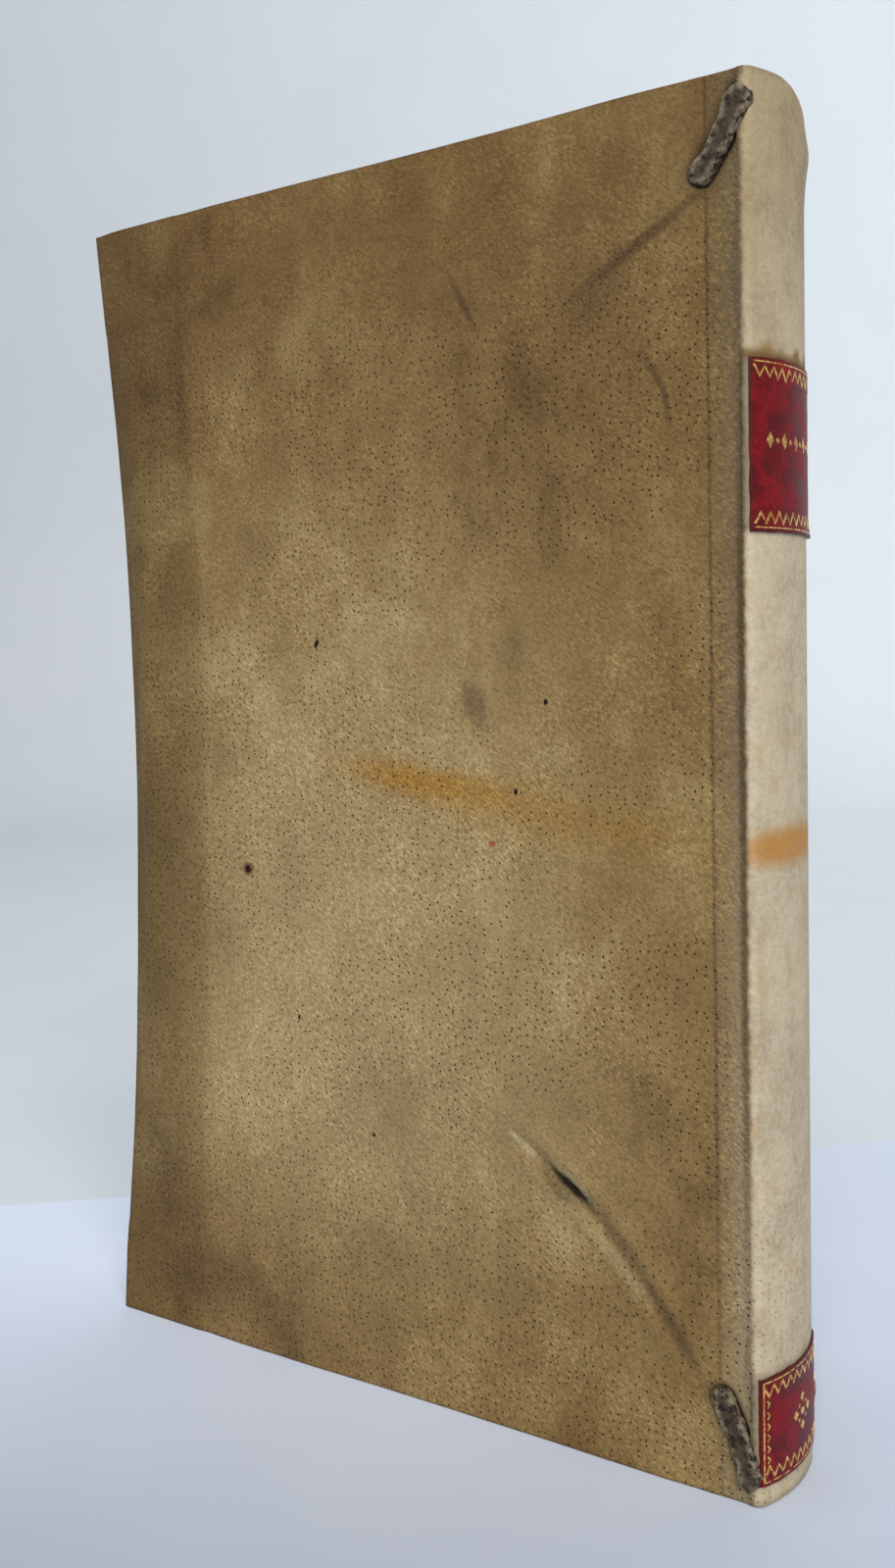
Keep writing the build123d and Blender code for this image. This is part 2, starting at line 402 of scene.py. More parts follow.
def follicles(tree, place, pitch, radius):
    """Dots of hair follicles about a pitch apart, in loose rows, some of them missing.

    The dots are laid out on the unrolled skin: X and Y together run round the book, and Z runs up it.
    """
    parts = add(tree, "SeparateXYZ", place).node
    girth = add(tree, "Math", parts.outputs["X"], parts.outputs["Y"], operation="ADD")
    flat = add(tree, "CombineXYZ", girth, parts.outputs["Z"])
    cells = add(
        tree, "TexVoronoi", flat, Scale=1 / pitch, Randomness=0.8, voronoi_dimensions="2D"
    ).node
    dot = add(
        tree, "MapRange", cells.outputs["Distance"], radius / pitch * 0.7, radius / pitch * 1.3,
        1.0, 0.0, **SOFT,
    )
    pick = add(tree, "SeparateColor", cells.outputs["Color"])
    return add(
        tree, "Math", dot, add(tree, "MapRange", pick, 0.1, 0.5, **SOFT), operation="MULTIPLY"
    )


def tinted(tree, colour, mask, strength, tint):
    """A colour mixed towards a tint where a mask is 1."""
    return add(
        tree, "Mix", add(tree, "Math", mask, strength, operation="MULTIPLY"), colour,
        rgba(linear(tint)), **COLOURS,
    )


def darken(tree, colour, mask, strength, multiplier):
    """A colour multiplied down where a mask is 1."""
    return add(
        tree, "Mix", add(tree, "Math", mask, strength, operation="MULTIPLY"), colour,
        rgba(linear(multiplier)), blend_type="MULTIPLY", **COLOURS,
    )


def vellum_material(colours, stained=False):
    """Calf vellum, hair side out, burnished and long handled.

    It gives soft brown mottling, a fine pale nap, dark follicle dots in loose rows and a dull sheen.
    """
    tree = new_material("Calf vellum, stained cover" if stained else "Calf vellum, plain cover")
    place = place_in_mm(tree)
    dark, mid, pale = (rgba(c) for c in (colours.vellum_dark, colours.vellum_mid, colours.vellum_pale))
    # Mottling: broad clouds, then smaller ones drawn out up and down the skin.
    clouds = add(tree, "TexNoise", place, Scale=1 / 30, Detail=5.0, Roughness=0.62)
    drawn = add(
        tree, "TexNoise", place_in_mm(tree, (1, 1, 0.5)), Scale=1 / 8, Detail=5.0, Roughness=0.65
    )
    tone = add(
        tree, "Math", clouds, 0.62, add(tree, "Math", drawn, 0.38, operation="MULTIPLY"),
        operation="MULTIPLY_ADD",
    )
    colour = add(tree, "Mix", add(tree, "MapRange", tone, 0.33, 0.5, **SOFT), dark, mid, **COLOURS)
    colour = add(
        tree, "Mix", add(tree, "MapRange", tone, 0.48, 0.64, **SOFT), colour, pale, **COLOURS
    )
    # The middle is mixed paler and greyer, a painted sheen where handling has rubbed it; the corners and
    # edges, the fore edge's waist and a band by the joint are multiplied darker and browner, painted shade
    # with handling dirt.
    rubbed = spot(tree, place, (-8, 56), (32, 46), 0, 0.8, 0.5)
    colour = tinted(tree, colour, rubbed, 0.55, "aa986e")
    for centre, radii, strength, multiplier in (
        ((-54, 168), (60, 44), 0.5, "bfab82"),
        ((20, 172), (60, 36), 0.75, "c9b99c"),
        ((46, 124), (20, 58), 0.5, "cfc2a8"),
        ((-52, 8), (32, 20), 0.55, "c3b192"),
        ((22, -2), (50, 22), 0.75, "c9bba2"),
        ((-55, 92), (18, 56), 0.85, "b5a589"),
    ):
        worn = spot(tree, place, centre, radii, 0, 0.85, 0.5)
        colour = darken(tree, colour, worn, strength, multiplier)
    # Thinner skin over the turned-in vellum looks greener and darker. The joint is mixed towards a darker
    # grey, painted shade that deepens towards the head.
    strip = add(tree, "Attribute", output="Fac", attribute_name="strip")
    colour = darken(tree, colour, strip, 0.55, "d4d4c2")
    joint = add(tree, "Attribute", output="Fac", attribute_name="joint")
    height = add(tree, "SeparateXYZ", place, output="Z")
    joint_shade_tone = add(
        tree, "Mix", add(tree, "MapRange", height, 40, 120, **SOFT), rgba(linear("9a8f76")),
        rgba(linear("6f634b")), **COLOURS,
    )
    colour = add(
        tree, "Mix", add(tree, "Math", joint, 0.6, operation="MULTIPLY"), colour, joint_shade_tone, **COLOURS
    )
    # Painted shade in the hollow by the shoulder where the cream begins, strongest between about 60 and
    # 100 mm up.
    seam = add(tree, "Attribute", output="Fac", attribute_name="cream")
    hollow_shade = add(
        tree, "Math", add(tree, "MapRange", seam, 0.02, 0.4, **SOFT),
        add(tree, "MapRange", height, 140, 100, 0.25, 1.0, **SOFT), operation="MULTIPLY",
    )
    colour = darken(
        tree, colour,
        add(
            tree, "Math", hollow_shade, add(tree, "MapRange", height, 25, 60, 0.35, 1.0, **SOFT),
            operation="MULTIPLY",
        ),
        0.75, "96866e",
    )
    if stained:
        for centre, radii, turn, soft, ragged, strength, tint in FRONT_MARKS:
            mark = spot(tree, place, centre, radii, turn, soft, ragged)
            colour = tinted(tree, colour, mark, strength, tint)
    # Nap: fibres a third of a millimetre wide that lie along one slope, some pale and some dirty.
    fibres = add(
        tree, "TexNoise", drawn_out(tree, place, NAP_SLOPE, 2.2), Scale=1 / 0.3, Detail=2.5,
        Roughness=0.75,
    )
    patchy = add(
        tree, "MapRange", add(tree, "TexNoise", place, Scale=1 / 14, Detail=3.0, Roughness=0.55),
        0.36, 0.6, 0.35, 1.0, **SOFT,
    )
    nap = add(
        tree, "Math", add(tree, "MapRange", fibres, 0.46, 0.66, **SOFT), patchy,
        operation="MULTIPLY",
    )
    colour = add(tree, "Mix", nap, colour, (1.6, 1.64, 1.75, 1.0), blend_type="MULTIPLY", **COLOURS)
    fine = add(
        tree, "TexNoise", drawn_out(tree, place, NAP_SLOPE, 1.6), Scale=1 / 0.36, Detail=3.0,
        Roughness=0.75,
    )
    colour = darken(tree, colour, add(tree, "MapRange", fine, 0.56, 0.36, **SOFT), 0.45, "ab9778")
    dots = follicles(tree, place, 1.25, 0.14)
    dense = add(
        tree, "MapRange", add(tree, "TexNoise", place, Scale=1 / 24, Detail=2.0, Roughness=0.55),
        0.4, 0.54, 0.1, 1.0, **SOFT,
    )
    dense = add(
        tree, "Math", dense, add(tree, "MapRange", height, 160, 138, **SOFT), operation="MULTIPLY"
    )
    dense = add(
        tree, "Math", dense, add(tree, "MapRange", joint, 0.2, 0.6, 1.0, 0.0, **SOFT),
        operation="MULTIPLY",
    )
    low_down = add(tree, "MapRange", height, 48, 22, **SOFT)
    dense = add(tree, "Math", dense, low_down, operation="MAXIMUM")
    dots = add(tree, "Math", dots, dense, operation="MULTIPLY")
    colour = tinted(tree, colour, dots, 0.92, "22150a")
    # Painted shade in the crease, lace slits and scar, and dirt at the edges, mixed in from the stored
    # share.
    grime = add(tree, "Attribute", output="Fac", attribute_name="grime")
    colour = add(tree, "Mix", grime, colour, rgba(linear("21160c")), **COLOURS)
    colour = spine_cream(tree, place, colour, colours)
    raised = add(
        tree, "Math", fibres, 0.8, add(tree, "Math", fine, 0.7, operation="MULTIPLY"),
        operation="MULTIPLY_ADD",
    )
    raised = add(tree, "Math", dots, -0.6, raised, operation="MULTIPLY_ADD")
    bump = add(tree, "Bump", Strength=0.8, Distance=0.16 * MM, Height=raised)
    rough = add(tree, "MapRange", clouds, 0.3, 0.7, 0.72, 0.6, **SOFT)
    finish_material(tree, colour, rough, bump, specular=0.22)


# The front cover's marks, stains and scratches with painted shade in the scar's split and fold and a
# painted highlight beside it, in the order they are laid on: centre and radii in millimetres, turn in
# degrees, softness and raggedness of the edge, strength and colour.
FRONT_MARKS = (
    ((6.0, 85.2), (11, 2.0), -8, 0.9, 1.2, 0.8, "986c1c"),  # orange streak
    ((24, 81.8), (17, 2.9), -8, 0.95, 1.2, 0.5, "94702c"),
    ((14.5, 95.5), (1.6, 2.8), 20, 0.6, 1.0, 0.5, "54402a"),  # blotch and scratches
    ((14.3, 145.5), (0.5, 3.4), 28, 0.7, 0.8, 0.7, "4e3822"),
    ((39.2, 148.4), (7.6, 0.7), 28, 0.8, 0.6, 0.8, "4c3720"),
    ((33.0, 143.5), (4.5, 2.4), 40, 0.8, 0.6, 0.4, "4c3720"),
    ((40.7, 133.7), (2.8, 0.45), -60, 0.8, 0.6, 0.6, "4c3720"),
    ((42.3, 129.6), (2.3, 0.4), -80, 0.8, 0.6, 0.65, "4c3720"),
    ((-44.5, 24), (4.0, 9.0), 5, 0.8, 0.6, 0.4, "4c3720"),
    ((-36, 9), (9.0, 5.0), 0, 0.8, 0.6, 0.45, "4c3720"),
    ((-25.7, 71.8), (0.95, 0.95), 0, 0.35, 0, 0.75, "5a1410"),  # wormhole with a red ring
    ((-25.7, 71.8), (0.5, 0.55), 0, 0.3, 0, 1, "0e0503"),
    ((-11.4, 103.8), (0.35, 0.62), -24, 0.3, 0, 1, "0e0503"),  # specks
    ((25.2, 95.6), (0.3, 0.4), 0, 0.3, 0, 1, "0e0503"),
    ((20.5, 84.3), (0.28, 0.4), 0, 0.3, 0, 1, "0e0503"),
    ((-17, 51), (0.22, 0.35), 0, 0.3, 0, 1, "0e0503"),
    ((-4, 36), (0.25, 0.3), 0, 0.3, 0, 1, "0e0503"),
    ((20.3, 38.9), (2.4, 0.5), -36, 0.5, 0.7, 0.75, "b5a583"),  # pale torn lips round a dark slit
    ((28.2, 34.6), (3.4, 0.9), -38, 0.5, 0.7, 0.6, "b0a07c"),
    # Painted highlight along the lower-left side of the scar's fold.
    ((32.5, 27.5), (7.5, 1.0), -45, 0.5, 0.7, 0.4, "a89870"),
    # Painted shade in the split of the scar.
    ((25.6, 34.0), (3.2, 0.8), -38, 0.5, 0.7, 0.5, "40301e"),
    ((27.0, 34.4), (2.7, 0.42), -38, 0.5, 0.7, 1, "120b06"),
    # Painted shade along the fold of the scar below the split.
    ((35.5, 26.5), (6.5, 0.7), -46, 0.5, 0.7, 0.3, "5a4a35"),
    ((41.5, 19.0), (5.5, 0.8), -52, 0.5, 0.7, 0.35, "514331"),
    ((16.8, 77.5), (0.5, 0.4), 0, 0.4, 0, 0.8, "8c3a2c"),
)


def spine_cream(tree, place, colour, colours):
    """Cleaned, paler vellum on the spine, where the mesh stores a cream share above 0."""
    cream = add(tree, "Attribute", output="Fac", attribute_name="cream")
    ragged = add(tree, "TexNoise", place, Scale=1 / 1.3, Detail=3.0, Roughness=0.55)
    cream = add(
        tree, "MapRange", add(tree, "Math", ragged, 0.35, cream, operation="MULTIPLY_ADD"), 0.72,
        1.1, **SOFT,
    )
    clouds = add(tree, "TexNoise", place, Scale=1 / 8, Detail=4.0, Roughness=0.6)
    pale = add(
        tree, "Mix", add(tree, "MapRange", clouds, 0.35, 0.6, **SOFT), rgba(linear("b3a488")),
        rgba(colours.vellum_cream), **COLOURS,
    )
    fine = add(tree, "TexNoise", place, Scale=1 / 0.7, Detail=3.0, Roughness=0.55)
    pale = add(
        tree, "Mix", add(tree, "MapRange", fine, 0.36, 0.66, 0.0, 0.4, **SOFT), pale,
        rgba(linear("dacfb8")), **COLOURS,
    )
    warm = add(
        tree, "MapRange", add(tree, "TexNoise", place, Scale=1 / 3.2, Detail=4.0, Roughness=0.65),
        0.5, 0.68, 0.0, 0.32, **SOFT,
    )
    pale = add(tree, "Mix", warm, pale, rgba(linear("b58d5c")), **COLOURS)
    brown_low = add(
        tree, "MapRange",
        add(
            tree, "TexNoise", place_in_mm(tree, (1, 1, 0.2)), Scale=1 / 6, Detail=3.0,
            Roughness=0.55,
        ),
        0.52, 0.7, 0.0, 0.3, **SOFT,
    )
    pale = add(tree, "Mix", brown_low, pale, rgba(linear("a48f6a")), **COLOURS)
    stain = spot(tree, place, (54.5, 78.6), (2.6, 2.2), 0, 0.55, 0.6)
    pale = tinted(tree, pale, stain, 0.85, "bb8232")
    low = add(tree, "SeparateXYZ", place, output="Z")
    pale = darken(tree, pale, add(tree, "MapRange", low, 122, 160, **SOFT), 0.9, "d8cfc0")
    dots = add(
        tree, "Math", follicles(tree, place, 1.35, 0.15),
        add(tree, "MapRange", low, 24, 44, 0.6, 0.08, **SOFT), operation="MULTIPLY",
    )
    pale = add(tree, "Mix", dots, pale, rgba(linear("4a3a26")), **COLOURS)
    glue = add(tree, "Attribute", output="Fac", attribute_name="glue")
    pale = tinted(tree, pale, glue, 0.9, "85601f")
    # Painted shade and dirt from the stored share, on the cleaned vellum too.
    grime = add(tree, "Attribute", output="Fac", attribute_name="grime")
    pale = add(tree, "Mix", grime, pale, rgba(linear("3a2a1a")), **COLOURS)
    return add(tree, "Mix", cream, colour, pale, **COLOURS)


LAID_PITCH = 1.6  # millimetres


def paper_material(colours):
    """Handmade rag paper, laid and sized.

    It gives a warm matt sheet with faint laid lines, clouding, foxing and browner edges.
    """
    tree = new_material("Laid rag paper")
    place = object_mm(tree)
    clouds = add(tree, "TexNoise", place, Scale=1 / 18, Detail=4.0, Roughness=0.55)
    colour = add(
        tree, "Mix", add(tree, "MapRange", clouds, 0.35, 0.65, **SOFT), rgba(linear("c8b78e")),
        rgba(colours.paper), **COLOURS,
    )
    # Laid lines are really about a millimetre apart, and are drawn coarser so that they show.
    laid = add(
        tree, "TexWave", place, output="Fac", Scale=1 / LAID_PITCH / 3.1416, Distortion=0.4, Detail=1.0,
        wave_type="BANDS", bands_direction="Z",
    )
    colour = tinted(tree, colour, laid, 0.12, "a8946a")
    fox = add(
        tree, "MapRange", add(tree, "TexNoise", place, Scale=1 / 2.4, Detail=4.0, Roughness=0.7),
        0.66, 0.76, 0.0, 0.5, **SOFT,
    )
    colour = add(tree, "Mix", fox, colour, rgba(linear("8a6236")), **COLOURS)
    # Each leaf differs a little in tone, and all are browner at their edges.
    tone = add(tree, "Attribute", output="Fac", attribute_name="tone")
    colour = add(tree, "Mix", tone, colour, rgba(linear("86704a")), **COLOURS)
    bump = add(tree, "Bump", Strength=0.25, Distance=0.05 * MM, Height=laid)
    finish_material(tree, colour, 0.85, bump, specular=0.2)


def lace_material(colours):
    """Tanned leather thong, dried out and dirty.

    It gives a dull grey-brown with dark cracks and paler rubbed crests.
    """
    tree = new_material("Dried leather thong")
    place = place_in_mm(tree)
    rubbed = add(tree, "TexNoise", place, Scale=1 / 0.9, Detail=5.0, Roughness=0.65)
    colour = add(
        tree, "Mix", add(tree, "MapRange", rubbed, 0.38, 0.52, **SOFT), rgba(linear("1d1712")),
        rgba(colours.lace_brown), **COLOURS,
    )
    colour = add(
        tree, "Mix", add(tree, "MapRange", rubbed, 0.54, 0.7, 0.0, 0.35, **SOFT), colour,
        rgba(linear("665b49")), **COLOURS,
    )
    rim = add(tree, "Attribute", output="Fac", attribute_name="rim")
    colour = add(
        tree, "Mix",
        add(
            tree, "Math", rim, add(tree, "MapRange", rubbed, 0.42, 0.62, **SOFT),
            operation="MULTIPLY",
        ),
        colour, rgba(linear("7f7460")), **COLOURS,
    )
    pits = add(tree, "TexNoise", place, Scale=1 / 0.35, Detail=3.0, Roughness=0.55)
    bump = add(tree, "Bump", Strength=0.8, Distance=0.15 * MM, Height=pits)
    finish_material(tree, colour, 0.75, bump, specular=0.3)


def label_material(colours):
    """Goatskin dyed crimson, glazed and polished.

    It gives a deep red with a fine pebbled grain, darker in its hollows, and a soft gloss.
    """
    tree = new_material("Glazed goatskin")
    place = place_in_mm(tree)
    pebble = add(tree, "TexVoronoi", place, Scale=1 / 0.55, feature="SMOOTH_F1")
    blotch = add(tree, "TexNoise", place, Scale=1 / 3.5, Detail=4.0, Roughness=0.6)
    colour = add(
        tree, "Mix", add(tree, "MapRange", blotch, 0.35, 0.65, **SOFT), rgba(linear("5a040a")),
        rgba(colours.label_red), **COLOURS,
    )
    colour = add(
        tree, "Mix", add(tree, "MapRange", pebble, 0.3, 0.7, 0.0, 0.45, **SOFT), colour,
        rgba(linear("38040a")), **COLOURS,
    )
    worn = add(tree, "Attribute", output="Fac", attribute_name="rim")
    colour = tinted(tree, colour, worn, 0.6, "3a120c")
    bump = add(tree, "Bump", Strength=0.35, Distance=0.06 * MM, Height=pebble, invert=True)
    rough = add(tree, "MapRange", blotch, 0.3, 0.7, 0.42, 0.55, **SOFT)
    finish_material(tree, colour, rough, bump, specular=0.22)


def gilding_material(colours):
    """Gold leaf struck on with a hot tool, and worn.

    It gives bright broken gold that lets the red leather show through.
    """
    tree = new_material("Worn gold leaf")
    place = place_in_mm(tree)
    wear = add(
        tree, "MapRange", add(tree, "TexNoise", place, Scale=1 / 1.1, Detail=4.0, Roughness=0.7),
        0.53, 0.62, 1.0, 0.0, **SOFT,
    )
    tone = add(
        tree, "Mix", add(
            tree, "MapRange",
            add(tree, "TexNoise", place, Scale=1 / 0.5, Detail=2.0, Roughness=0.55), 0.4, 0.6,
            **SOFT,
        ), rgba(linear("c48f3e")), rgba(colours.gilding)
    , **COLOURS)
    colour = add(tree, "Mix", wear, rgba(linear("5a0c12")), tone, **COLOURS)
    rough = add(tree, "MapRange", wear, 0.0, 1.0, 0.5, 0.32, **SOFT)
    grit = add(tree, "TexNoise", place, Scale=1 / 0.4, Detail=3.0, Roughness=0.55)
    bump = add(tree, "Bump", Strength=0.4, Distance=0.04 * MM, Height=grit)
    finish_material(
        tree, colour, rough, bump, metallic=add(tree, "Math", wear, 0.7, operation="MULTIPLY")
    )


def thread_material(colours):
    """Plied linen thread, waxed.

    It gives a pale matt strand with fine slanting ply lines.
    """
    tree = new_material("Waxed linen thread")
    place = object_mm(tree)
    ply = add(
        tree, "TexWave", place, output="Fac", Scale=1.2, Distortion=0.6, bands_direction="DIAGONAL"
    )
    colour = add(
        tree, "Mix", add(tree, "Math", ply, 0.5, operation="MULTIPLY"), rgba(colours.thread),
        rgba(linear("8f7c55")), **COLOURS,
    )
    bump = add(tree, "Bump", Strength=0.4, Distance=0.05 * MM, Height=ply)
    finish_material(tree, colour, 0.8, bump, specular=0.25)


def thong_material(_colours):
    """Alum-tawed pigskin, white and supple.

    It gives a chalky off-white with a faint pore grain.
    """
    tree = new_material("Alum-tawed skin")
    place = place_in_mm(tree)
    pores = add(tree, "TexVoronoi", place, Scale=1 / 0.7)
    clouds = add(tree, "TexNoise", place, Scale=1 / 4, Detail=3.0, Roughness=0.55)
    colour = add(
        tree, "Mix", add(tree, "MapRange", clouds, 0.3, 0.7, **SOFT), rgba(linear("c8bda0")),
        rgba(linear("e0d8c4")), **COLOURS,
    )
    colour = add(
        tree, "Mix", add(tree, "MapRange", pores, 0.0, 0.3, 0.4, 0.0, **SOFT), colour,
        rgba(linear("9c8c6a")), **COLOURS,
    )
    bump = add(tree, "Bump", Strength=0.3, Distance=0.05 * MM, Height=pores)
    finish_material(tree, colour, 0.8, bump, specular=0.3)


def card_material(name, low, high, across, away, level):
    """A plain pale matt surface that darkens across and towards the front, as by one window."""
    tree = new_material(name)
    place = object_mm(tree)
    clouds = add(tree, "TexNoise", place, Scale=1 / 60, Detail=3.0, Roughness=0.55)
    colour = add(tree, "Mix", clouds, rgba(linear(low)), rgba(linear(high)), **COLOURS)
    turned = add(tree, "Mapping", place, Rotation=(0, 0, -CAMERA_TURN))
    slope = add(tree, "VectorMath", turned, (across, away, 0), operation="DOT_PRODUCT")
    lit = add(tree, "Math", slope, level, operation="ADD")
    shade = add(tree, "MapRange", lit, 0.68, 1.02, 0.32, 0.0)
    colour = add(tree, "Mix", shade, colour, (0, 0, 0, 1), **COLOURS)
    finish_material(tree, colour, 0.9, None, specular=0.1)
    return bpy.data.materials[name]


def book():
    """The scene's sizes and colours."""
    return bpy.context.scene.book_sizes, bpy.context.scene.book_colours


def kept_material(name):
    """A material made once, when the first piece needs it, and shared by the others."""
    if name not in bpy.data.materials:
        MAKERS[name](book()[1])
    return bpy.data.materials[name]


MAKERS = {
    "Calf vellum, stained cover": lambda colours: vellum_material(colours, stained=True),
    "Calf vellum, plain cover": vellum_material,
    "Laid rag paper": paper_material,
    "Dried leather thong": lace_material,
    "Glazed goatskin": label_material,
    "Worn gold leaf": gilding_material,
    "Waxed linen thread": thread_material,
    "Alum-tawed skin": thong_material,
}


# ---- The vellum case ----
def fore_edge_x():
    """X of the cover's fore edge at a height, read from the outline of the construction model's cover."""
    points = {}
    for vertex in frame["nodes"]["front_vellum"].data.vertices:
        z = round(vertex.co.z, 6)
        points[z] = min(points.get(z, 1.0), vertex.co.x)
    heights = sorted(points)

    def at(z):
        z = min(max(z, heights[0]), heights[-1])
        for low, high in zip(heights, heights[1:]):
            if z <= high:
                return points[low] + (points[high] - points[low]) * (z - low) / (high - low)
        return points[heights[-1]]

    return at


def lace_route(node):
    """Where a lace lies on the joint: from its slit by the shoulder, over the crease, in X and Z."""
    low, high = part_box(node)
    half = LACE_WIDTH / 2
    root_z, end_z = high.z - half, low.z + half
    if node.startswith("tail"):
        root_z, end_z = low.z + half, high.z - half
    root, end = Vector((high.x - half, root_z)), Vector((low.x + half, end_z))
    # The cut end has drawn back, and the root leans onto the shoulder.
    end += (root - end).normalized() * 1.1 * MM
    lean = 0.9 * MM if node.startswith("head") else 0.15 * MM
    root += (end - root).normalized() * 0.2 * MM + Vector((lean, 0))
    if node.startswith("tail"):
        end.x -= 0.5 * MM
    elif "back" in node:
        root.y -= 1.1 * MM
    middle = root.lerp(end, 0.5) + Vector((0.4 * MM, 0))
    return [root, middle, end]


def word_for(side):
    """The name of a side of the book: -1 is the front and 1 the back."""
    return "front" if side < 0 else "back"


def shoulder_drop(x):
    """How far the skin has turned away from the cover's plane, on the rounding of the shoulder."""
    past = min(0.95 * SHOULDER_ROUND, x - (SHOULDER_X - SHOULDER_ROUND))
    return SHOULDER_ROUND - math.sqrt(SHOULDER_ROUND**2 - max(0.0, past) ** 2)


# A scar in the front cover, from the thick of the skin down to the tail lace: distance from the
# shoulder and height, in metres.
SCAR = [Vector(p) * MM for p in ((35, 40.5), (29, 37), (23, 32.8), (17, 27), (12.5, 20.5), (7.5, 14.6))]
SCAR_HOLE = 0.33  # where along the scar the skin is split


def relief(x, z, side, sizes):
    """How far a cover's surface stands out past its flat place, in metres; side is -1 at the front."""
    from_shoulder = SHOULDER_X - x
    from_crease = CREASE_X - x
    to_fore = x - fore_at(z)
    to_end = min(z, HEIGHT - z)
    out = -sizes.crease_depth * hump(from_crease, 0.38 * MM)
    out -= 0.11 * MM * smooth(0.2 * MM, -1.2 * MM, from_crease) * smooth(
        0.9 * MM, 2.2 * MM, from_shoulder
    )
    out += sizes.ridge_height * smooth(17.6 * MM, 16.2 * MM, to_fore) * smooth(0, 3 * MM, from_crease)
    out += 0.12 * MM * smooth(14.8 * MM, 13.2 * MM, to_end) * smooth(2 * MM, 8 * MM, from_crease)
    # The fore edge curls in at its waist, and the corners spread.
    waist = 1 - ((z / HEIGHT - 0.56) / 0.5) ** 2
    curl = sizes.fore_curl if side < 0 else sizes.fore_curl * 0.5
    out -= curl * max(0.0, waist) * smooth(4.8 * MM, 0, to_fore)
    ends = smooth(50 * MM, 0, to_end)
    out += sizes.corner_spread * ends * smooth(35 * MM, 85 * MM, from_shoulder)
    wave = noise.noise(Vector((x / (28 * MM), z / (34 * MM), side * 3.1)))
    wave += 0.4 * noise.noise(Vector((x / (9 * MM), z / (13 * MM), side * 7.7)))
    out += sizes.cockle * (wave + 0.3) * smooth(1 * MM, 12 * MM, from_crease)
    for end in ("head", "tail"):
        distance, _ = to_route(Vector((x, z)), LACE_ROUTES[f"{end}_{word_for(side)}_lace"])
        out -= 0.35 * MM * smooth(2.0 * MM, 1.3 * MM, distance)
        out += 0.18 * MM * hump(distance - 2.2 * MM, 0.6 * MM)
    if side < 0:
        distance, share = to_route(Vector((from_shoulder, z)), SCAR)
        fade = smooth(0, 0.15, share) * smooth(1.0, 0.8, share)
        out -= 0.42 * MM * fade * hump(distance, 0.95 * MM)
        out += 0.3 * MM * fade * hump(distance - 1.9 * MM, 1.0 * MM)
        out -= 0.5 * MM * hump(distance, 0.5 * MM) * hump(share - SCAR_HOLE, 0.1)
    return out


def cover_dirt_and_shade(side):
    """Painted shade in the crease, round the lace slits, along the scar's fold and in its split, and dirt
    along the edges: a share for each place.
    """

    def at(co):
        from_crease = abs(co.x - CREASE_X)
        # A thin painted shade in the crease's groove.
        dark_share = 0.5 * hump(from_crease, 0.2 * MM)
        for end in ("head", "tail"):
            distance, _ = to_route(Vector((co.x, co.z)), LACE_ROUTES[f"{end}_{word_for(side)}_lace"])
            # Painted shade: dark in each lace's slit, with a soft halo round it.
            halo = 0.35 * hump(distance - 1.6 * MM, 1.0 * MM)
            dark_share = max(dark_share, 0.95 * smooth(1.85 * MM, 1.45 * MM, distance), halo)
        if side < 0:
            # Painted shade along the scar's fold, darkest in its split.
            distance, share = to_route(Vector((SHOULDER_X - co.x, co.z)), SCAR)
            line = 0.24 * hump(distance, 1.2 * MM) * smooth(0.1, 0.4, share) * smooth(1, 0.9, share)
            hole = 1.3 * hump(distance, 0.5 * MM) * hump(share - SCAR_HOLE, 0.11)
            dark_share = min(max(dark_share, line, hole), 0.97)
        # Dirt along the cover's edges.
        edge = min(co.z, HEIGHT - co.z, co.x - fore_at(co.z))
        return max(dark_share, 0.3 * smooth(0.5 * MM, 0, edge))

    return at


def cover_joint_shade(co):
    """How much of the joint's painted shade a place on the cover has."""
    past_crease = co.x - CREASE_X
    return 0.3 * smooth(-0.8 * MM, 0.6 * MM, past_crease) + 0.7 * smooth(0.8 * MM, 3.6 * MM, past_crease)


def cream_share(co):
    """Rises across the joint to 1 on the spine; the cleaned vellum starts where it is nearly 1."""
    return smooth(SHOULDER_X - 2.6 * MM, SHOULDER_X + 0.2 * MM, co.x)


def cover_columns():
    """Shares across the cover, from shoulder to fore edge, close together by the crease."""
    width = SHOULDER_X - SHOULDER_ROUND - cover_low.x
    near = 11 * MM / width
    return spread(0, near, 0.33 * MM / width) + spread(near, 1, 1.0 * MM / width)[1:]


def cover_rows():
    """Heights up the cover, close together where the laces are."""
    tail, head = 17 * MM, HEIGHT - 15 * MM
    return (
        spread(0, tail, 0.45 * MM)
        + spread(tail, head, 0.95 * MM)[1:]
        + spread(head, HEIGHT, 0.45 * MM)[1:]
    )


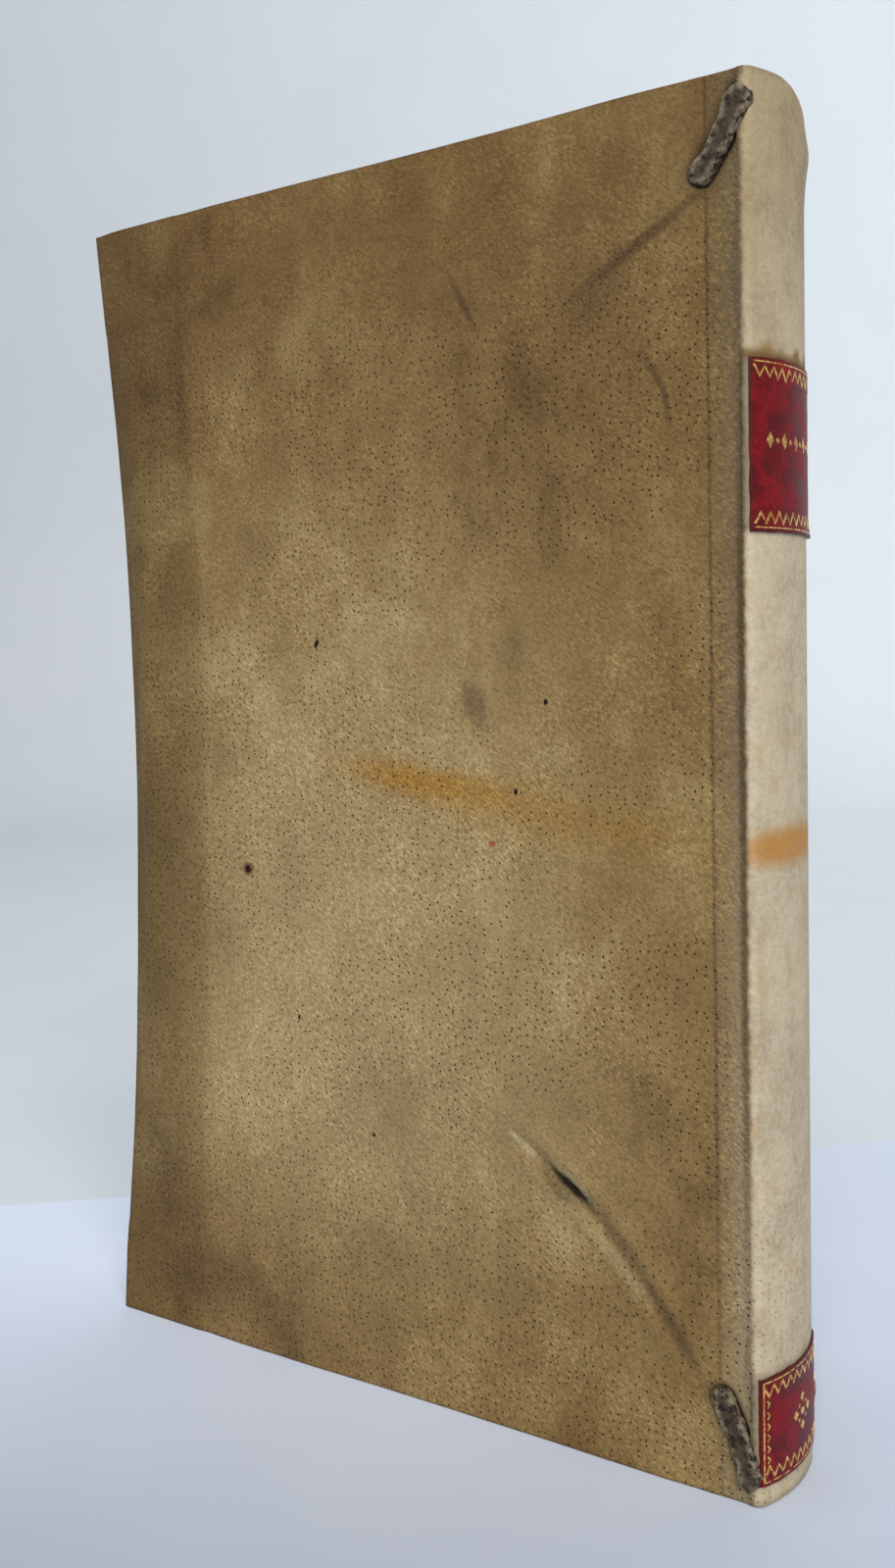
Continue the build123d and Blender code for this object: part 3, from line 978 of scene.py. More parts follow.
def build_cover(side):
    """One cover with its joint, up to where the shoulder starts to round."""
    sizes, _ = book()
    word = word_for(side)
    start_x = SHOULDER_X - SHOULDER_ROUND

    def place(share, z):
        x = start_x + (fore_at(z) - start_x) * share
        y = side * (HALF_SPINE + relief(x, z, side, sizes))
        wave = 0.12 * MM * noise.noise(Vector((x / (15 * MM), side, 0)))
        rise = wave * smooth(HEIGHT - 2 * MM, HEIGHT, z)
        if side > 0:
            # The back joint droops at its head, as far as the spine's skin does there.
            rise *= smooth(SHOULDER_X - SHOULDER_ROUND, CREASE_X, x)
            droop = HEAD_DROOP * smooth(HEIGHT - DROOP_RUN, HEIGHT, z)
            rise -= droop * smooth(CREASE_X, SHOULDER_X - SHOULDER_ROUND, x)
        return Vector((x, y, z + rise))

    piece = sheet(f"{word}_cover_vellum", cover_columns(), cover_rows(), place, VELLUM, (0, side, 0))
    # The skin is pressed thin along the crease, which leaves room for the flyleaf when the cover opens.
    for vertex in piece.data.vertices:
        if vertex.co.y * side < HALF_SPINE - VELLUM * 0.75:
            vertex.co.y += side * 0.22 * MM * hump(vertex.co.x - CREASE_X, 0.9 * MM)

    def on_rim(a, b):
        same_end = max(a.z, b.z) < NEAR or min(a.z, b.z) > HEIGHT - 0.3 * MM
        at_fore = a.x - fore_at(a.z) < NEAR and b.x - fore_at(b.z) < NEAR
        along = abs(a.y - b.y) < 0.25 * MM and a.x < start_x - NEAR
        return (same_end or at_fore) and along

    bevel_edges(piece, on_rim, 0.14 * MM)
    write_attribute(piece, "grime", cover_dirt_and_shade(side))
    write_attribute(piece, "joint", cover_joint_shade)
    write_attribute(piece, "cream", cream_share)
    write_attribute(piece, "strip", lambda co: smooth(17.6 * MM, 15.8 * MM, co.x - fore_at(co.z)))
    name = "Calf vellum, stained cover" if side < 0 else "Calf vellum, plain cover"
    dress(piece, kept_material(name), 60)
    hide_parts(f"{word}_vellum")
    bend_with_cover(piece)


def bend_with_cover(piece):
    """Puts a piece's place into its mesh; it does not bend the piece."""
    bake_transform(piece)


class BOOK_OT_covers(bpy.types.Operator):
    """Front and back covers of the vellum case, with their joints, creases, slits and warp"""

    bl_idname = "book.covers"
    bl_label = "Covers"

    def execute(self, context):
        for side in (-1, 1):
            build_cover(side)
        return {"FINISHED"}


def shoulder_centre():
    """Centre, in plan, of the back shoulder's rounding: it touches the flat joint and the spine's arc."""
    y = HALF_SPINE - SHOULDER_ROUND
    return ARC_CENTRE_X + math.sqrt((ARC_RADIUS - SHOULDER_ROUND) ** 2 - y**2), y


def spine_plan():
    """The spine's plan, as points from the front joint round to the back one."""
    centre_x, centre_y = shoulder_centre()
    touch = math.atan2(centre_y, centre_x - ARC_CENTRE_X)
    points = [(SHOULDER_X - SHOULDER_ROUND, -HALF_SPINE)]
    rounding_steps, arc_steps = 6, 34
    for i in range(rounding_steps + 1):
        angle = -math.pi / 2 + (math.pi / 2 - touch) * i / rounding_steps
        x = centre_x + SHOULDER_ROUND * math.cos(angle)
        points.append((x, -centre_y + SHOULDER_ROUND * math.sin(angle)))
    mirrored = [(x, -y) for x, y in reversed(points)]
    for i in range(1, arc_steps):
        angle = -touch + 2 * touch * i / arc_steps
        points.append((ARC_CENTRE_X + ARC_RADIUS * math.cos(angle), ARC_RADIUS * math.sin(angle)))
    return points + mirrored


def build_spine():
    """The spine of the case, from shoulder to shoulder."""
    plan = spine_plan()
    columns = list(range(len(plan)))
    rows = spread(0, HEIGHT, 1.0 * MM)
    root_z = LACE_ROUTES["head_back_lace"][0].y - 1 * MM

    def place(column, z):
        x, y = plan[column]
        # The skin is turned in over the head and droops a little towards the back.
        drop = smooth(HEIGHT - DROOP_RUN, HEIGHT, z) * smooth(
            -HALF_SPINE * 0.4, HALF_SPINE, y
        ) * HEAD_DROOP
        swell = 0.1 * MM * noise.noise(Vector((y / (6 * MM), z / (22 * MM), 5)))
        middle = smooth(HALF_SPINE, HALF_SPINE * 0.6, abs(y))
        # The back lace's root presses the skin out at the far shoulder.
        bump = 0.55 * MM * hump(z - root_z, 4 * MM) * smooth(0, HALF_SPINE, y)
        bump *= smooth(SHOULDER_X - SHOULDER_ROUND, SHOULDER_X - 0.3 * MM, x)
        return Vector((x + min(0.0, swell) * middle + bump, y + 0.4 * bump, z - drop))

    piece = sheet("spine_vellum", columns, rows, place, VELLUM, (1, 0, 0))

    def on_rim(a, b):
        ends = max(a.z, b.z) < NEAR or min(a.z, b.z) > HEIGHT - HEAD_DROOP - 0.2 * MM
        joint = min(a.x, b.x) > SHOULDER_X - SHOULDER_ROUND + NEAR
        level = abs(a.z - b.z) < 0.1 * MM and (a - b).length < 0.75 * MM
        if not (ends and joint and level):
            return False
        radial = Vector((a.x - ARC_CENTRE_X, a.y, 0)).normalized()
        return (a - b).normalized().dot(radial) ** 2 < 0.5

    bevel_edges(piece, on_rim, 0.14 * MM)
    _, title_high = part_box("title_label")

    def glue(co):
        above = co.z - title_high.z
        ragged = 1.1 * MM * noise.noise(Vector((co.y / (2.2 * MM), 0, 9)))
        return smooth(1.5 * MM, 0.6 * MM, above + ragged) * smooth(-0.8 * MM, -0.2 * MM, above)

    # Dirt at the head and tail, and painted shade along the labels' head and tail edges, as a share for
    # each place.
    def grime(co):
        edge = min(co.z, HEIGHT - co.z)
        dark_share = 0.35 * smooth(0.8 * MM, 0, edge)
        for node in ("title_label", "foot_label"):
            low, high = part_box(node)
            near = max(low.z - co.z, co.z - high.z, 0)
            dark_share = max(dark_share, 0.5 * smooth(0.5 * MM, 0, near))
        return dark_share

    write_attribute(piece, "cream", cream_share)
    write_attribute(piece, "glue", glue)
    write_attribute(piece, "grime", grime)
    # The joint's painted shade at full share; the cream covers it on the spine's face.
    write_attribute(piece, "joint", lambda co: 1.0)
    dress(piece, kept_material("Calf vellum, stained cover"), 60)
    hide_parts("vellum_spine")
    bend_with_opening(piece)


def bend_with_opening(piece):
    """Puts a piece's place into its mesh; it does not bend the piece."""
    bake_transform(piece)


class BOOK_OT_spine(bpy.types.Operator):
    """Rounded spine of the vellum case"""

    bl_idname = "book.spine"
    bl_label = "Spine"

    def execute(self, context):
        build_spine()
        return {"FINISHED"}


def inner_sheet(name, node, side, depth, thickness):
    """A sheet inside a cover that follows the cover's warp, with the outline of a construction node."""
    sizes, _ = book()
    low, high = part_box(node)
    margin = low.x - cover_low.x
    end_margin = low.z

    def place(share, z):
        x = high.x + (fore_at(z) + margin - high.x) * share
        y = side * (HALF_SPINE + relief(x, z, side, sizes) - depth)
        return Vector((x, y, z))

    columns = spread(0, 1, 1.4 * MM / (high.x - low.x))
    rows = spread(end_margin, HEIGHT - end_margin, 1.6 * MM)
    return sheet(name, columns, rows, place, thickness, (0, side, 0))


def build_turn_ins(side):
    """Vellum folded in along head, fore edge and tail, cut away in the middle.

    The cut leaves the thickness of the sheet open there, under the pastedown.
    """
    word = word_for(side)
    piece = inner_sheet(f"{word}_turn_in_vellum", f"{word}_turn_ins", side, VELLUM + 0.02 * MM, TURN_IN)
    unselect_all(piece)
    mesh = piece.data
    for face in mesh.polygons:
        c = face.center
        face.select = TURN_IN_END < c.z < HEIGHT - TURN_IN_END and c.x - fore_at(c.z) > TURN_IN_FORE
    bpy.ops.object.mode_set(mode="EDIT")
    bpy.ops.mesh.select_mode(type="FACE")
    bpy.ops.mesh.delete(type="FACE")
    bpy.ops.object.mode_set(mode="OBJECT")
    write_attribute(piece, "grime", lambda co: 0.0)
    # A little of the joint's painted shade on the turn-ins.
    write_attribute(piece, "joint", lambda co: 0.2)
    dress(piece, kept_material("Calf vellum, plain cover"), 60)
    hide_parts(f"{word}_turn_ins")
    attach(piece, f"{word}_cover")


class BOOK_OT_turn_ins(bpy.types.Operator):
    """Vellum folded in round the inside of both covers"""

    bl_idname = "book.turn_ins"
    bl_label = "Turn-ins"

    def execute(self, context):
        for side in (-1, 1):
            build_turn_ins(side)
        return {"FINISHED"}


# ---- The leaves ----
def leaf_wave(x, z):
    """Cockle that all the leaves share, so that they stay parallel."""
    return 0.06 * MM * noise.noise(Vector((x / (24 * MM), z / (30 * MM), 2)))


def build_gathering(number, rng):
    """One gathering: folded sheets nested in each other, with slightly uneven edges."""
    sizes, _ = book()
    node = f"gathering_{number:02d}"
    low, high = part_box(node)
    thickness = high.y - low.y
    leaf = thickness / sizes.leaves_per_gathering
    middle_y = (low.y + high.y) / 2
    sheets = []
    for nest in range(sizes.leaves_per_gathering // 2):
        half = thickness / 2 - nest * leaf
        fore_x = low.x + rng.uniform(0.0, 0.22) * MM
        bottom = low.z + rng.uniform(0.0, 0.14) * MM
        top = high.z - rng.uniform(0.0, 0.14) * MM
        radius = min(half, 0.45 * thickness)
        fold_x = high.x - nest * leaf
        turn_x = fold_x - radius
        flat = spread(fore_x, turn_x, 14 * MM)
        path = [(x, -half) for x in flat]
        for i in range(1, 7):
            angle = -math.pi / 2 + math.pi * i / 7
            path.append((turn_x + radius * math.cos(angle), half * math.sin(angle)))
        path += [(x, half) for x in reversed(flat)]

        def place(column, z, path=path):
            x, y = path[column]
            return Vector((x, middle_y + y + leaf_wave(x, z), z))

        rows = spread(bottom, top, 16 * MM)
        name = f"{node}_sheet_{nest}"
        folded = sheet(name, list(range(len(path))), rows, place, leaf * 0.86, (1, 0, 0))
        shades = (rng.uniform(0, 0.42), rng.uniform(0, 0.42))
        write_attribute(folded, "tone", lambda co, shades=shades: shades[co.y > middle_y])
        sheets.append(folded)
    piece = join(sheets, f"{node}_leaves")
    dress(piece, kept_material("Laid rag paper"), 50)
    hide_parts(node)
    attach(piece, "front_block" if number <= 6 else "root")


class BOOK_OT_gatherings(bpy.types.Operator):
    """Twelve gatherings of folded, nested sheets"""

    bl_idname = "book.gatherings"
    bl_label = "Gatherings"

    def execute(self, context):
        rng = random.Random(1540)
        for number in range(1, 13):
            build_gathering(number, rng)
        return {"FINISHED"}


def build_leaf(node, body):
    """One loose leaf, with the cockle that all leaves share and a deckled fore edge."""
    low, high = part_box(node)

    def place(x, z):
        deckle = 0.25 * MM * noise.noise(Vector((0, z / (2 * MM), low.y * 900)))
        x += (deckle + 0.1 * MM) * smooth(low.x + 4 * MM, low.x, x)
        return Vector((x, low.y + leaf_wave(x, z) * smooth(high.x, high.x - 8 * MM, x), z))

    columns = spread(low.x, high.x - 0.8 * MM, 3 * MM)
    rows = spread(low.z, high.z, 2.5 * MM)
    piece = sheet(f"{node}_paper", columns, rows, place, (high.y - low.y) * 0.9, (0, -1, 0))
    write_attribute(
        piece, "tone", lambda co: 0.3 * smooth(5 * MM, 0, min(co.x - low.x, co.z - low.z, high.z - co.z))
    )
    dress(piece, kept_material("Laid rag paper"), 50)
    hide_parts(node)
    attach(piece, body)


class BOOK_OT_loose_leaves(bpy.types.Operator):
    """Flyleaves, centre leaves and pastedowns"""

    bl_idname = "book.loose_leaves"
    bl_label = "Loose leaves"

    def execute(self, context):
        for number in (1, 2):
            for word in ("front", "back"):
                build_leaf(f"{word}_flyleaf_{number}", f"{word}_flyleaf_{number}")
        for number in (1, 2, 3):
            build_leaf(f"centre_leaf_{number}", f"centre_leaf_{number}")
        for side, word in ((-1, "front"), (1, "back")):
            node = f"{word}_pastedown"
            depth = VELLUM + TURN_IN + 0.03 * MM
            piece = inner_sheet(f"{node}_paper", node, side, depth, 0.18 * MM)
            dress(piece, kept_material("Laid rag paper"), 50)
            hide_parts(node)
            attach(piece, f"{word}_cover")
        return {"FINISHED"}


# ---- Sewing, lining and endbands ----
def copy_of_node(node, name):
    """A piece made from a construction node's own shape, with its doubles merged and its triangles joined
    into quads.
    """
    make_active(frame["nodes"][node])
    bpy.ops.object.duplicate()
    piece = bpy.context.object
    piece.name = name
    piece.data.name = name
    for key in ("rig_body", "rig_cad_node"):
        if key in piece:
            del piece[key]
    make_active(piece)
    bpy.ops.object.parent_clear(type="CLEAR_KEEP_TRANSFORM")
    edit_all(
        piece,
        (bpy.ops.mesh.remove_doubles, {"threshold": 0.001 * MM}),
        (bpy.ops.mesh.tris_convert_to_quads, {}),
    )
    return piece


def slice_across(piece, step):
    """Cuts a piece with planes across the spine, so that it can bend there."""
    for y in spread(-HALF_SPINE, HALF_SPINE, step)[1:-1]:
        edit_all(piece, (bpy.ops.mesh.bisect, {"plane_co": (0, y, 0), "plane_no": (0, 1, 0)}))


class BOOK_OT_sewing(bpy.types.Operator):
    """Sewing supports, lining patches and the thread round the supports"""

    bl_idname = "book.sewing"
    bl_label = "Sewing"

    def execute(self, context):
        supports = [(f"sewing_support_{n}", "Alum-tawed skin", "support_leather") for n in (1, 2, 3)]
        for node, material, slot in supports + [("spine_lining", "Laid rag paper", "lining_paper")]:
            piece = copy_of_node(node, f"{node}_bent")
            slice_across(piece, 0.7 * MM)
            apply_modifier(piece, "BEVEL", width=0.08 * MM, segments=2, limit_method="ANGLE")
            roughen(piece, 1.2 * MM, 0.05 * MM, 4)
            dress(piece, kept_material(material), 50)
            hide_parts(node)
            bend_with_opening(piece)
        for word, body in (("front", "front_block"), ("back", "root")):
            node = f"sewing_thread_{word}"
            piece = copy_of_node(node, f"{node}_rounded")
            apply_modifier(piece, "BEVEL", width=0.09 * MM, segments=3, limit_method="ANGLE")
            dress(piece, kept_material("Waxed linen thread"), 70)
            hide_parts(node)
            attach(piece, body)
        return {"FINISHED"}


def build_endband(end):
    """A leather core across the folds, and thread wound round it turn by turn."""
    core_low, core_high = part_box(f"{end}_endband_core")
    wound_low, wound_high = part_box(f"{end}_endband_winding")
    radius = (core_high.x - core_low.x) / 2
    thread = (wound_high.x - wound_low.x) / 2 - radius
    x, z = (core_low.x + core_high.x) / 2, (core_low.z + core_high.z) / 2
    deselect()
    bpy.ops.mesh.primitive_cylinder_add(
        vertices=20, radius=radius, depth=core_high.y - core_low.y, location=(
            x, 0, z
        ), end_fill_type="TRIFAN"
    )
    core = bpy.context.object
    core.name = f"{end}_endband_leather"
    bpy.ops.transform.rotate(value=math.pi / 2, orient_axis="X", center_override=(x, 0, z))
    settle(core)
    slice_across(core, 0.6 * MM)
    roughen(core, 0.8 * MM, 0.05 * MM, 6)
    dress(core, kept_material("Dried leather thong"), 50)
    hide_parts(f"{end}_endband_core")
    bend_with_opening(core)
    turns = []
    pitch = thread * 2.02
    count = int((core_high.y - core_low.y - pitch) / pitch)
    # The thread is 0.25 mm thick; each turn is drawn as its own ring, leaning a little as a helix does.
    for turn in range(count):
        y = core_low.y + pitch * (turn + 1)
        deselect()
        bpy.ops.mesh.primitive_torus_add(
            major_radius=radius + thread * 0.42, minor_radius=thread * 0.55,
            major_segments=18, minor_segments=6, location=(x, y, z),
            rotation=(math.pi / 2, 0, math.radians(5)),
        )
        turns.append(bpy.context.object)
    winding = join(turns, f"{end}_endband_thread")
    settle(winding)
    dress(winding, kept_material("Waxed linen thread"), 70)
    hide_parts(f"{end}_endband_winding")
    bend_with_opening(winding)


class BOOK_OT_endbands(bpy.types.Operator):
    """Endbands at head and tail: leather cores wound with thread"""

    bl_idname = "book.endbands"
    bl_label = "Endbands"

    def execute(self, context):
        for end in ("head", "tail"):
            build_endband(end)
        return {"FINISHED"}


def build_lace(node, seed):
    """End of an endband core, laid in its slit across the joint and cut off past the crease."""
    side = -1 if "front" in node else 1
    route = LACE_ROUTES[node]
    deselect()
    bpy.ops.curve.primitive_nurbs_path_add()
    curve = bpy.context.object
    surface = HALF_SPINE + 0.06 * MM
    deep = HALF_SPINE - 1.1 * MM
    first, last = route[0], route[-1]
    line = [(first, deep), (first, surface - 0.25 * MM), (first, surface + 0.1 * MM),
            (route[1], surface), (last, surface + 0.05 * MM), (last, surface - 0.2 * MM), (last, deep)]
    widths = (0.8, 0.9, 1.02, 0.92, 1.0, 1.04, 0.98)
    spline = curve.data.splines[0]
    spline.points.add(len(line) - len(spline.points))
    for point, (flat, depth), width in zip(spline.points, line, widths):
        point.co = (flat.x, side * depth, flat.y, 1)
        point.radius = width
    spline.order_u = 3
    spline.use_endpoint_u = True
    spline.resolution_u = 8
    curve.data.bevel_depth = LACE_WIDTH / 2 + 0.1 * MM
    curve.data.bevel_resolution = 6
    curve.data.use_fill_caps = True
    bpy.ops.object.convert(target="MESH")
    piece = bpy.context.object
    piece.name = f"{node}_thong"
    piece.data.name = piece.name
    settle(piece)
    # Flattened towards the skin, as a thong is, and buried where it passes through.
    top = surface + 0.75 * MM
    for vertex in piece.data.vertices:
        depth = vertex.co.y * side
        over = depth - surface
        if over > 0:
            depth = surface + (top - surface) * math.tanh(over / (top - surface) * 1.1)
        else:
            depth = max(surface + over * 0.7, HALF_SPINE - VELLUM * 0.9)
        # The strip has dried with its edges curled up, so its middle lies lower.
        centre, _ = to_route(Vector((vertex.co.x, vertex.co.z)), route)
        depth -= 0.42 * MM * hump(centre, 0.7 * MM) * smooth(surface, surface + 0.4 * MM, depth)
        vertex.co.y = side * (depth - shoulder_drop(vertex.co.x))
    piece.data.update()
    edit_all(
        piece,
        (bpy.ops.mesh.remove_doubles, {"threshold": 0.01 * MM}),
        (bpy.ops.mesh.normals_make_consistent, {"inside": False}),
    )
    apply_modifier(piece, "SUBSURF", levels=1, render_levels=1)
    roughen(piece, 2.2 * MM, 0.3 * MM, seed)
    roughen(piece, 0.6 * MM, 0.07 * MM, seed + 3)
    write_attribute(
        piece, "rim", lambda co: smooth(0.35 * MM, 0.95 * MM, to_route(Vector((co.x, co.z)), route)[0])
    )
    dress(piece, kept_material("Dried leather thong"), 60)
    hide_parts(node)
    bend_with_cover(piece)


class BOOK_OT_laces(bpy.types.Operator):
    """Four endband laces that cross the joints"""

    bl_idname = "book.laces"
    bl_label = "Laces"

    def execute(self, context):
        for seed, node in enumerate(sorted(LACE_ROUTES)):
            build_lace(node, seed * 5.0)
        return {"FINISHED"}


# ---- Labels ----
def on_spine(along, z, height):
    """A point that far round the spine from its middle, that high above the vellum's face."""
    centre_x, centre_y = shoulder_centre()
    run = ARC_RADIUS * math.asin(centre_y / (ARC_RADIUS - SHOULDER_ROUND))
    angle = min(abs(along), run) / ARC_RADIUS
    radius = ARC_RADIUS + height
    x, y = ARC_CENTRE_X + radius * math.cos(angle), radius * math.sin(angle)
    if abs(along) > run:
        # Past the arc the label turns with the rounding of the shoulder.
        turn = angle + (abs(along) - run) / SHOULDER_ROUND
        x = centre_x + (SHOULDER_ROUND + height) * math.cos(turn)
        y = centre_y + (SHOULDER_ROUND + height) * math.sin(turn)
    return Vector((x, math.copysign(y, along), z))


def gilt_mark(corners, along, z, size, stretch=1.0):
    """One thin flat mark of gold, a lozenge or a dot, laid out flat before it is wrapped."""
    deselect()
    bpy.ops.mesh.primitive_cylinder_add(
        vertices=corners, radius=size, depth=GOLD, location=(0, 0, 0)
    )
    mark = bpy.context.object
    bpy.ops.transform.resize(value=(1, stretch, 1))
    mark.location = (along, z, 0)
    settle(mark)
    return mark


def gilt_line(start, end, width):
    """One thin straight line of gold, in short lengths so that it can be wrapped."""
    deselect()
    run = Vector(end) - Vector(start)
    middle = (Vector(start) + Vector(end)) / 2
    bpy.ops.mesh.primitive_grid_add(
        x_subdivisions=max(2, round(run.length / (0.7 * MM))), y_subdivisions=1, size=1,
    )
    line = bpy.context.object
    line.scale = (run.length + width * 0.5, width, 1)
    line.rotation_euler = (0, 0, math.atan2(run.y, run.x))
    line.location = (middle.x, middle.y, 0)
    settle(line)
    apply_modifier(line, "SOLIDIFY", thickness=GOLD, offset=0)
    return line


def border_marks(half_width, low, high, sides, rng):
    """Fine lines and a zigzag along a label's head and tail, and dashes down its sides if wanted."""
    inset = 0.5 * MM
    left, right, bottom, top = -half_width + inset, half_width - inset, low + inset, high - inset
    marks = []
    teeth = round((right - left) / (1.5 * MM))
    pitch = (right - left) / teeth
    for edge, inward in ((bottom, 1), (top, -1)):
        marks.append(gilt_line((left, edge), (right, edge), 0.17 * MM))
        base = edge + inward * 0.45 * MM
        for i in range(teeth):
            tip = base + inward * rng.uniform(1.15, 1.5) * MM
            start, middle, end = left + i * pitch, left + (i + 0.5) * pitch, left + (i + 1) * pitch
            marks.append(gilt_line((start, base), (middle, tip), 0.3 * MM))
            marks.append(gilt_line((middle, tip), (end, base), 0.2 * MM))
    dashes = round((top - bottom - 4 * MM) / (1.3 * MM))
    for edge, inward in ((left, 1), (right, -1)) if sides else ():
        marks.append(gilt_line((edge, bottom), (edge, top), 0.17 * MM))
        for i in range(dashes):
            z = bottom + 2 * MM + (top - bottom - 4 * MM) * (i + 0.5) / dashes
            across = edge + inward * 0.5 * MM
            lean = rng.uniform(-0.15, 0.15) * MM
            tip = (across + inward * 0.35 * MM, z + lean)
            marks.append(gilt_line((across, z - 0.4 * MM), tip, 0.2 * MM))
            marks.append(gilt_line(tip, (across, z + 0.4 * MM), 0.2 * MM))
    return marks


def build_label(node, rng):
    """A leather label glued round the spine, with its gold tooling as a piece of its own."""
    low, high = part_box(node)
    half_width = high.y + 0.72 * MM
    columns = spread(-half_width, half_width, 0.3 * MM)
    rows = spread(low.z, high.z, 0.5 * MM)
    foot = node == "foot_label"

    def lift(along, z):
        """The corners and the far edge have come away a little."""
        near_tip = (high.z + low.z) / 2 - 1 * MM if foot else low.z
        tip = hump(z - near_tip, 1.1 * MM) * smooth(2.2 * MM, 0, half_width - along)
        return 0.35 * MM * tip + 0.03 * MM * noise.noise(Vector((along, z, 3)) / (3 * MM))

    def place(along, z):
        edge_x = 0.14 * MM * noise.noise(Vector((z / (2.2 * MM), 1, along > 0)))
        edge_z = 0.14 * MM * noise.noise(Vector((along / (2.2 * MM), 2, z > high.z - 1 * MM)))
        at = along + edge_x * smooth(half_width - 1 * MM, half_width, abs(along))
        up = z + edge_z * smooth(1 * MM, 0, min(z - low.z, high.z - z))
        return on_spine(at, up, LABEL_FACE + lift(along, z))

    side_y = on_spine(half_width, 0, LABEL_FACE).y
    leather = sheet(f"{node}_leather", columns, rows, place, LABEL * 0.9, (1, 0, 0))

    def on_rim(a, b):
        def rim(co):
            return min(co.z - low.z, high.z - co.z, side_y - abs(co.y)) < 0.2 * MM

        radial = Vector((a.x - ARC_CENTRE_X, a.y, 0)).normalized()
        return rim(a) and rim(b) and abs((b - a).normalized().dot(radial)) < 0.5

    bevel_edges(leather, on_rim, 0.08 * MM)
    write_attribute(
        leather, "rim",
        lambda co: smooth(0.5 * MM, 0.05 * MM, min(co.z - low.z, high.z - co.z, side_y - abs(co.y))),
    )
    dress(leather, kept_material("Glazed goatskin"), 60)
    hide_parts(node)
    bend_with_opening(leather)

    marks = border_marks(half_width, low.z, high.z, foot, rng)
    middle = (low.z + high.z) / 2
    if foot:
        # A plain flower of dots and lozenges.
        for i in range(8):
            angle = math.pi * i / 4
            reach, corners, size = ((1.75, 4, 0.62), (1.3, 10, 0.26))[i % 2]
            along, up = reach * MM * math.cos(angle), reach * MM * math.sin(angle)
            marks.append(gilt_mark(corners, along, middle + up, size * MM))
        marks.append(gilt_mark(12, 0, middle, 0.5 * MM))
    else:
        # A plain row of lozenges and dots between two fine lines.
        line_z = middle + 0.6 * MM
        for i in range(9):
            along = (i - 4) * 1.35 * MM
            corners, size, stretch = ((4, 0.62, 1.5), (10, 0.3, 1.0))[i % 2]
            marks.append(gilt_mark(corners, along, line_z, size * MM, stretch))
    gilding = join(marks, f"{node}_gilding")
    for vertex in gilding.data.vertices:
        along, z, height = vertex.co
        vertex.co = on_spine(along, z, LABEL_FACE + lift(along, z) + height + 0.005 * MM)
    gilding.data.update()
    edit_all(gilding, (bpy.ops.mesh.normals_make_consistent, {"inside": False}))
    dress(gilding, kept_material("Worn gold leaf"), 30)
    bend_with_opening(gilding)


class BOOK_OT_labels(bpy.types.Operator):
    """Red leather labels with plain gold tooling"""

    bl_idname = "book.labels"
    bl_label = "Labels"

    def execute(self, context):
        rng = random.Random(7)
        for node in ("title_label", "foot_label"):
            build_label(node, rng)
        return {"FINISHED"}


# ---- The stage ----
CLOTH_EDGE = Vector((-43, 69, 0)) * MM
CLOTH_TURN = math.radians(42.6)
CAMERA_PLACE = Vector((121.4, -165.1, 101.2)) * MM
CAMERA_TURN = math.radians(35.36)  # from looking along +Y towards -X
CAMERA_PITCH = math.radians(-4.80)
CAMERA_ROLL = math.radians(-1.56)
CAMERA_LENS = 34.1  # millimetres, on a 36 mm long side


def area_light(name, place, target, size, power, colour):
    """A soft square light that looks at a point."""
    deselect()
    bpy.ops.object.light_add(type="AREA", location=place)
    light = bpy.context.object
    light.name = name
    light.rotation_euler = (Vector(target) - Vector(place)).to_track_quat("-Z", "Y").to_euler()
    light.data.shape = "SQUARE"
    light.data.size = size
    light.data.energy = power
    light.data.color = linear(colour)


